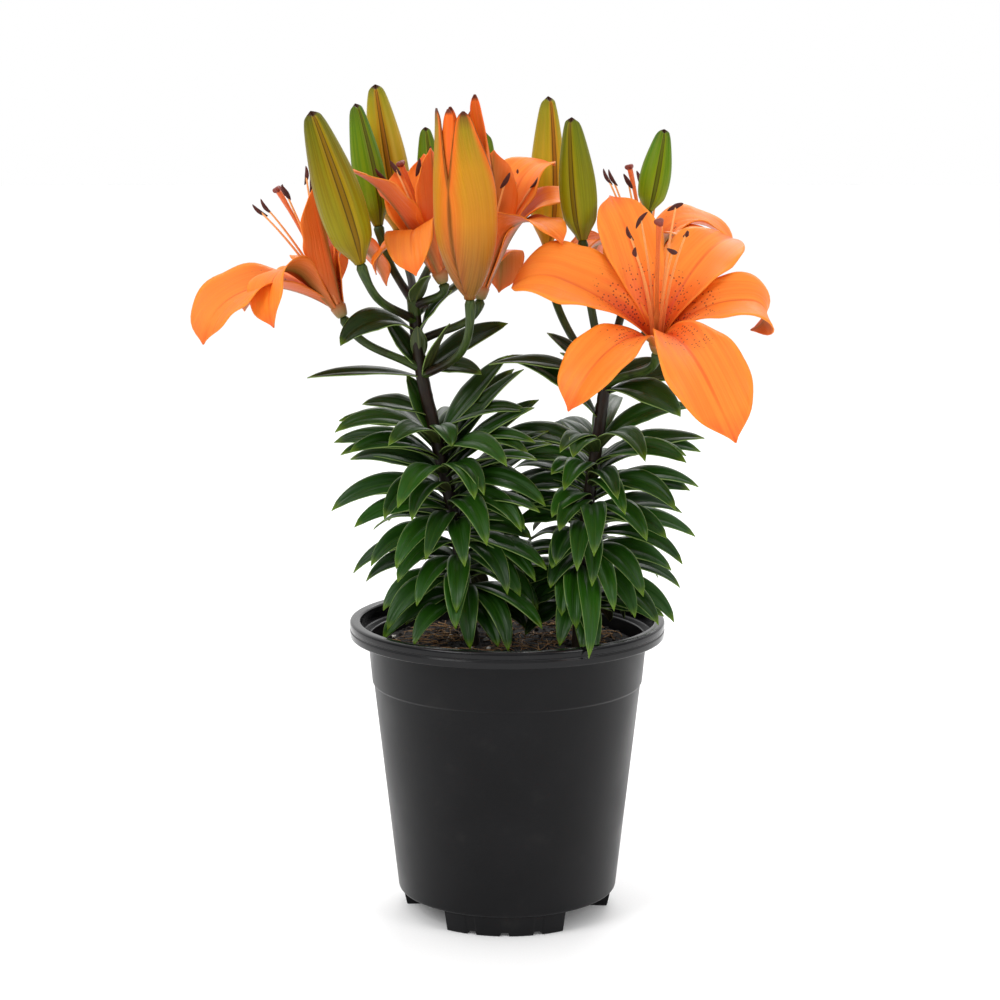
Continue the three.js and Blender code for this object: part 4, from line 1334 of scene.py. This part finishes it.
def makeBloom(name, flower, materials):
    for part, addPart, skins, thickness in bloomParts:
        bm = newMesh()
        addPart(bm, flower)
        skins = [materials[skin] for skin in skins]
        finishPiece(f"{name}_{part}", bm, skins, name, thickness)
    print(f"{name} ready")


# Buds: three outer tepals meet over the ribs of the inner ones. turn is the angle of one seam from the front,
# to the right; ripe runs from 0, green, by olive to 1, amber.

buds = {
    "bud_1": {"base": (-73, -41, 344), "tip": (-96, -48, 418), "radius": 12, "from": ("left", 311),
              "leave": (-0.5, -0.7, 0.4), "turn": 16, "ripe": 0.52},
    "bud_2": {"base": (-67, 19, 360), "tip": (-78.4, 19, 422), "radius": 8.6, "from": ("left", 321),
              "leave": (-0.5, 0.3, 0.7), "turn": 30, "ripe": 0.0},
    "bud_3": {"base": (-57.6, 40, 357), "tip": (-69.2, 41, 432), "radius": 10.8, "from": ("left", 322),
              "leave": (0, 0.7, 0.7), "turn": 4, "ripe": 0.95},
    "bud_4": {"base": (-38, 34, 356), "tip": (-42.9, 35, 410), "radius": 7.4, "from": ("left", 320),
              "leave": (0.2, 0.6, 0.8), "turn": 10, "ripe": 0.0},
    "bud_6": {"base": (-13, 46, 352), "tip": (-11.2, 48, 407), "radius": 8, "from": ("left", 314),
              "leave": (0.4, 0.8, 0.4), "turn": -30, "ripe": 0.0},
    "bud_7": {"base": (21.2, 48, 348), "tip": (21.5, 50, 426), "radius": 9.9, "from": ("right", 279),
              "leave": (-0.3, 0.9, 0.4), "turn": 26, "ripe": 1.0},
    "bud_8": {"base": (37.8, -14, 354.5), "tip": (32, -18, 415), "radius": 9.6, "from": ("right", 282),
              "leave": (-0.2, -0.4, 0.9), "turn": -22, "ripe": 0.3},
    "bud_9": {"base": (72.3, 3, 368.5), "tip": (79.8, 3, 409), "radius": 8.1, "from": ("right", 285),
              "leave": (0.2, 0.1, 0.9), "turn": 6, "ripe": 0.0},
}
budShape = {"sides": 72, "rings": 56, "foot": 2.4, "span": 0.86, "seam": 0.1, "keel": 0.05, "crown": 1.6}
openingBud = {
    "base": (-18.7, -45, 326.8), "tip": (-22, -50, 400), "radius": 15.4, "from": ("left", 283),
    "leave": (0.6, -0.6, 0.3), "taper": 3.4, "thickness": 0.8, "columns": 18, "rows": 52,
    "narrowest": 0.29, "narrowFrom": 0.58, "narrowOver": 0.38,       # how and where the tepals narrow
    # angle from the front to the right, tip's height, half width, layer (1 is outer), lean of the tip
    "tepals": [
        (30, 92, 61, 1, -24), (150, 92, 61, 1, 0), (-90, 93.5, 61, 1, 16),
        (-30, 93, 52, 0, -4), (92, 98.5, 56, 0, 44), (-150, 93, 50, 0, 0),
    ],
}


def makeBudSkin():
    material, tree = newMaterial("budSkin", 0.12, 0.06, (2, 2, 0.4))
    lines, bands, u, s, ripe = veinedBlade(tree, 1.1, 0.02)      # u: 0 at a seam, 1 amid an outer tepal
    green = ramp(
        tree, s, (0, 110, 100, 8), (0.14, 112, 126, 6), (0.45, 88, 120, 4), (0.8, 70, 112, 2), (1, 52, 82, 2),
    )
    olive = ramp(
        tree, s, (0, 128, 96, 10), (0.25, 130, 116, 10), (0.6, 120, 98, 4), (0.9, 94, 88, 2), (1, 66, 62, 4),
    )
    amber = ramp(
        tree, s, (0, 176, 112, 16), (0.2, 200, 150, 26), (0.6, 192, 152, 28), (0.9, 150, 136, 16),
        (1, 96, 96, 10),
    )
    seamTint = blend(tree, ripe, colour(118, 128, 2), colour(196, 118, 14))
    keelTint = blend(tree, ripe, colour(84, 90, 0), colour(150, 92, 6))
    # groove marks the crease beside each seam, where a dark line is painted as painted shade
    groove = times(tree, between(tree, u, 0.08, 0.11), between(tree, u, 0.17, 0.13))
    tint = blend(tree, between(tree, ripe, 0.0, 0.5), green, olive)
    tint = blend(tree, between(tree, ripe, 0.5, 1.0), tint, amber)
    tint = blend(tree, between(tree, u, 0.42, 0.16, 0, 0.6), tint, seamTint)
    tint = layered(tree, tint, (lines, 0.18, 166, 164, 30), (bands, 0.22, 96, 108, 14))
    tint = blend(tree, between(tree, u, 0.12, 0.09), tint, keelTint)
    # the groove's dark brown is painted shade in the crease; the dark brown at the very tip is the bud's own
    # colour
    tint = layered(tree, tint, (groove, 0.85, 64, 40, 6), (between(tree, s, 0.975, 0.99), 1, 56, 30, 16))
    return dressBlade(material, tint, (lines, bands), 0.7, 0.34, 0.3, 0.3)


def makeOpeningSkin():
    material, tree = newMaterial("openingSkin", 0.2, 0.08, (3, 1.5, 0.4))
    lines, bands, aside, s, layer = veinedBlade(tree, 1.5, 0.02)
    middleTint = ramp(
        tree, s, (0, 104, 74, 30), (0.2, 142, 92, 30), (0.42, 190, 124, 20), (0.7, 186, 132, 8),
        (0.9, 142, 124, 6), (1, 60, 30, 14),
    )
    sideTint = ramp(tree, s, (0, 108, 62, 26), (0.22, 158, 78, 24), (0.5, 222, 106, 16), (1, 234, 92, 22))
    ribTint = blend(tree, between(tree, s, 0.35, 0.85), colour(134, 78, 14), colour(238, 100, 34))
    inner = blend(tree, between(tree, aside, 0.3, 0.12), sideTint, ribTint)
    outer = blend(tree, between(tree, aside, 0.4, 0.95), middleTint, sideTint)
    # painted shadow: the outer tepals' edges are darkened where they meet and lift off the others
    outer = layered(tree, outer, (between(tree, aside, 0.86, 0.95), 0.85, 104, 56, 8))
    tint = layered(
        tree, blend(tree, layer, inner, outer),
        (lines, 0.14, 226, 160, 60),
        (bands, 0.18, 176, 96, 20),
        (between(tree, s, 0.965, 0.99), 0.9, 70, 26, 16),
    )
    return dressBlade(material, tint, (lines, bands), 0.7, 0.38, 0.3, 0.3)


def swell(s, span, foot):
    body = math.sin(math.pi * (0.1 + span * s ** 0.8)) ** mix(0.75, 0.6, smooth(0.6, 1, s))
    return mix(foot, body, smooth(-0.04, 0.17, s) ** 0.8) if s < 0.17 else body


def makeBud(name, flower, skin):
    base, axis, radial = flowerFrame(flower, front)
    length = (Vector(flower["tip"]) - base).length
    radius = flower["radius"]
    foot = budShape["foot"] / radius
    bm = newMesh()
    grid = bmesh.ops.create_grid(bm, x_segments=budShape["sides"], y_segments=budShape["rings"], size=1)
    for vert in grid["verts"]:
        share = (vert.co.x + 1) / 2 * 3 % 3
        third, part = int(share), share % 1
        fromSeam = (1 - abs(2 * part - 1)) ** 1.8
        degrees = 60 * fromSeam
        turn = flower["turn"] + 120 * third + (degrees if part < 0.5 else 120 - degrees)
        s = 1 - (1 - (vert.co.y + 1) / 2) ** 1.25
        seam = budShape["seam"] * (1 - smooth(7, 13, degrees))
        keel = budShape["keel"] * (1 - smooth(4.5, 7, degrees))
        relief = mix(1, 1 - seam + keel, smooth(0.0, 0.1, s)) * (1 - 0.03 * (1 - fromSeam))
        close = math.sqrt(max(0.0, 1 - smooth(0.955, 1.0, s) ** 2))
        wide = radius * swell(s, budShape["span"], foot) * relief * close
        notch = budShape["crown"] * (1 - fromSeam) * smooth(0.9, 1.0, s)
        vert.co = base + axis * (mix(-0.6, length, s) - notch) + radial(turn) * wide
        grain = (math.radians(degrees) * radius, s * length, third * 40 + base.x)
        mark(bm, vert, (fromSeam, s, flower["ripe"]), grain)
    bmesh.ops.remove_doubles(bm, verts=grid["verts"], dist=1e-3)
    bmesh.ops.holes_fill(bm, edges=[edge for edge in bm.edges if edge.is_boundary], sides=0)
    bmesh.ops.recalc_face_normals(bm, faces=bm.faces)
    finishPiece(f"{name}_skin", bm, [skin], name)


def foldRadius(height):
    body = math.sin(math.pi / 2 * min(1, (height + 1) / 42) ** 0.75)
    return max(budShape["foot"], openingBud["radius"] * body - openingBud["taper"] * smooth(44, 100, height))


def addFold(bm, number):         # one tepal of the opening bud, wrapped round the others
    base, axis, radial = flowerFrame(openingBud, front)
    turn, tipHeight, halfAngle, layer, lean = openingBud["tepals"][number]

    def placeAt(x, s):
        x = -x       # seen from outside the sheet's back shows, so it is laid from right to left
        height = mix(-0.6, tipHeight, s)
        radius = foldRadius(height) - (0 if layer else 1.3) * smooth(0, 0.12, s)
        narrow = min(1, max(0, (s - openingBud["narrowFrom"]) / openingBud["narrowOver"]))
        point = math.sqrt(max(0.004, 1 - smooth(0.93, 1.0, s) ** 2))
        half = halfAngle * mix(1, openingBud["narrowest"], narrow) * point
        spread = x * half + lean * smooth(0.45, 1, s)
        lip = 0.5 * abs(x) ** 6 * smooth(0.5, 0.8, s) * (1 if layer else -1)
        tuck = -0.5 * abs(x) ** 8 * layer * smooth(0, 0.2, s)
        flat = 1 - 0.1 * smooth(0.6, 1, s) * (1 - cosOf(spread))
        place = base + axis * height + radial(turn + spread) * (radius * flat + lip + tuck)
        return place, (x, s, layer), (math.radians(x * half) * radius, height, number * 31)

    addSheet(bm, openingBud["columns"], openingBud["rows"], placeAt)


def makeOpeningBud(skin):
    bm = newMesh()
    for number in range(6):
        addFold(bm, number)
    finishPiece("opening_bud_tepals", bm, [skin, skin], "opening_bud", openingBud["thickness"])
    print("opening bud ready")


makePot()
makeSoil()
dressBulbs()
leafMaterials = [makeLeafTop(), makeLeafUnder()]
stemSkin = makeStemSkin()
for side in stems:
    makeStem(side, stemSkin, leafMaterials)
bloomMaterials = {
    "front": makePetalFront(),
    "back": makePetalBack(),
    "filament": makeFlowerPart("filament", (224, 120, 60), (244, 170, 96), 0.5, 0.1),
    "anther": makeFlowerPart("anther", (62, 24, 18), (86, 30, 20), 0.8, 0.8),
    "style": makeFlowerPart("style", (196, 130, 62), (226, 104, 44), 0.42, 0.1),
    "stigma": makeFlowerPart("stigma", (150, 54, 30), (132, 44, 26), 0.45, 0.5),
    "throat": makeFlowerPart("throat", (112, 112, 56), (176, 104, 52), 0.45, 0.15),
}
for name, flower in blooms.items():
    makeBloom(name, flower, bloomMaterials)
makeOpeningBud(makeOpeningSkin())
budSkin = makeBudSkin()
for name, flower in buds.items():
    makeBud(name, flower, budSkin)
print("buds ready")
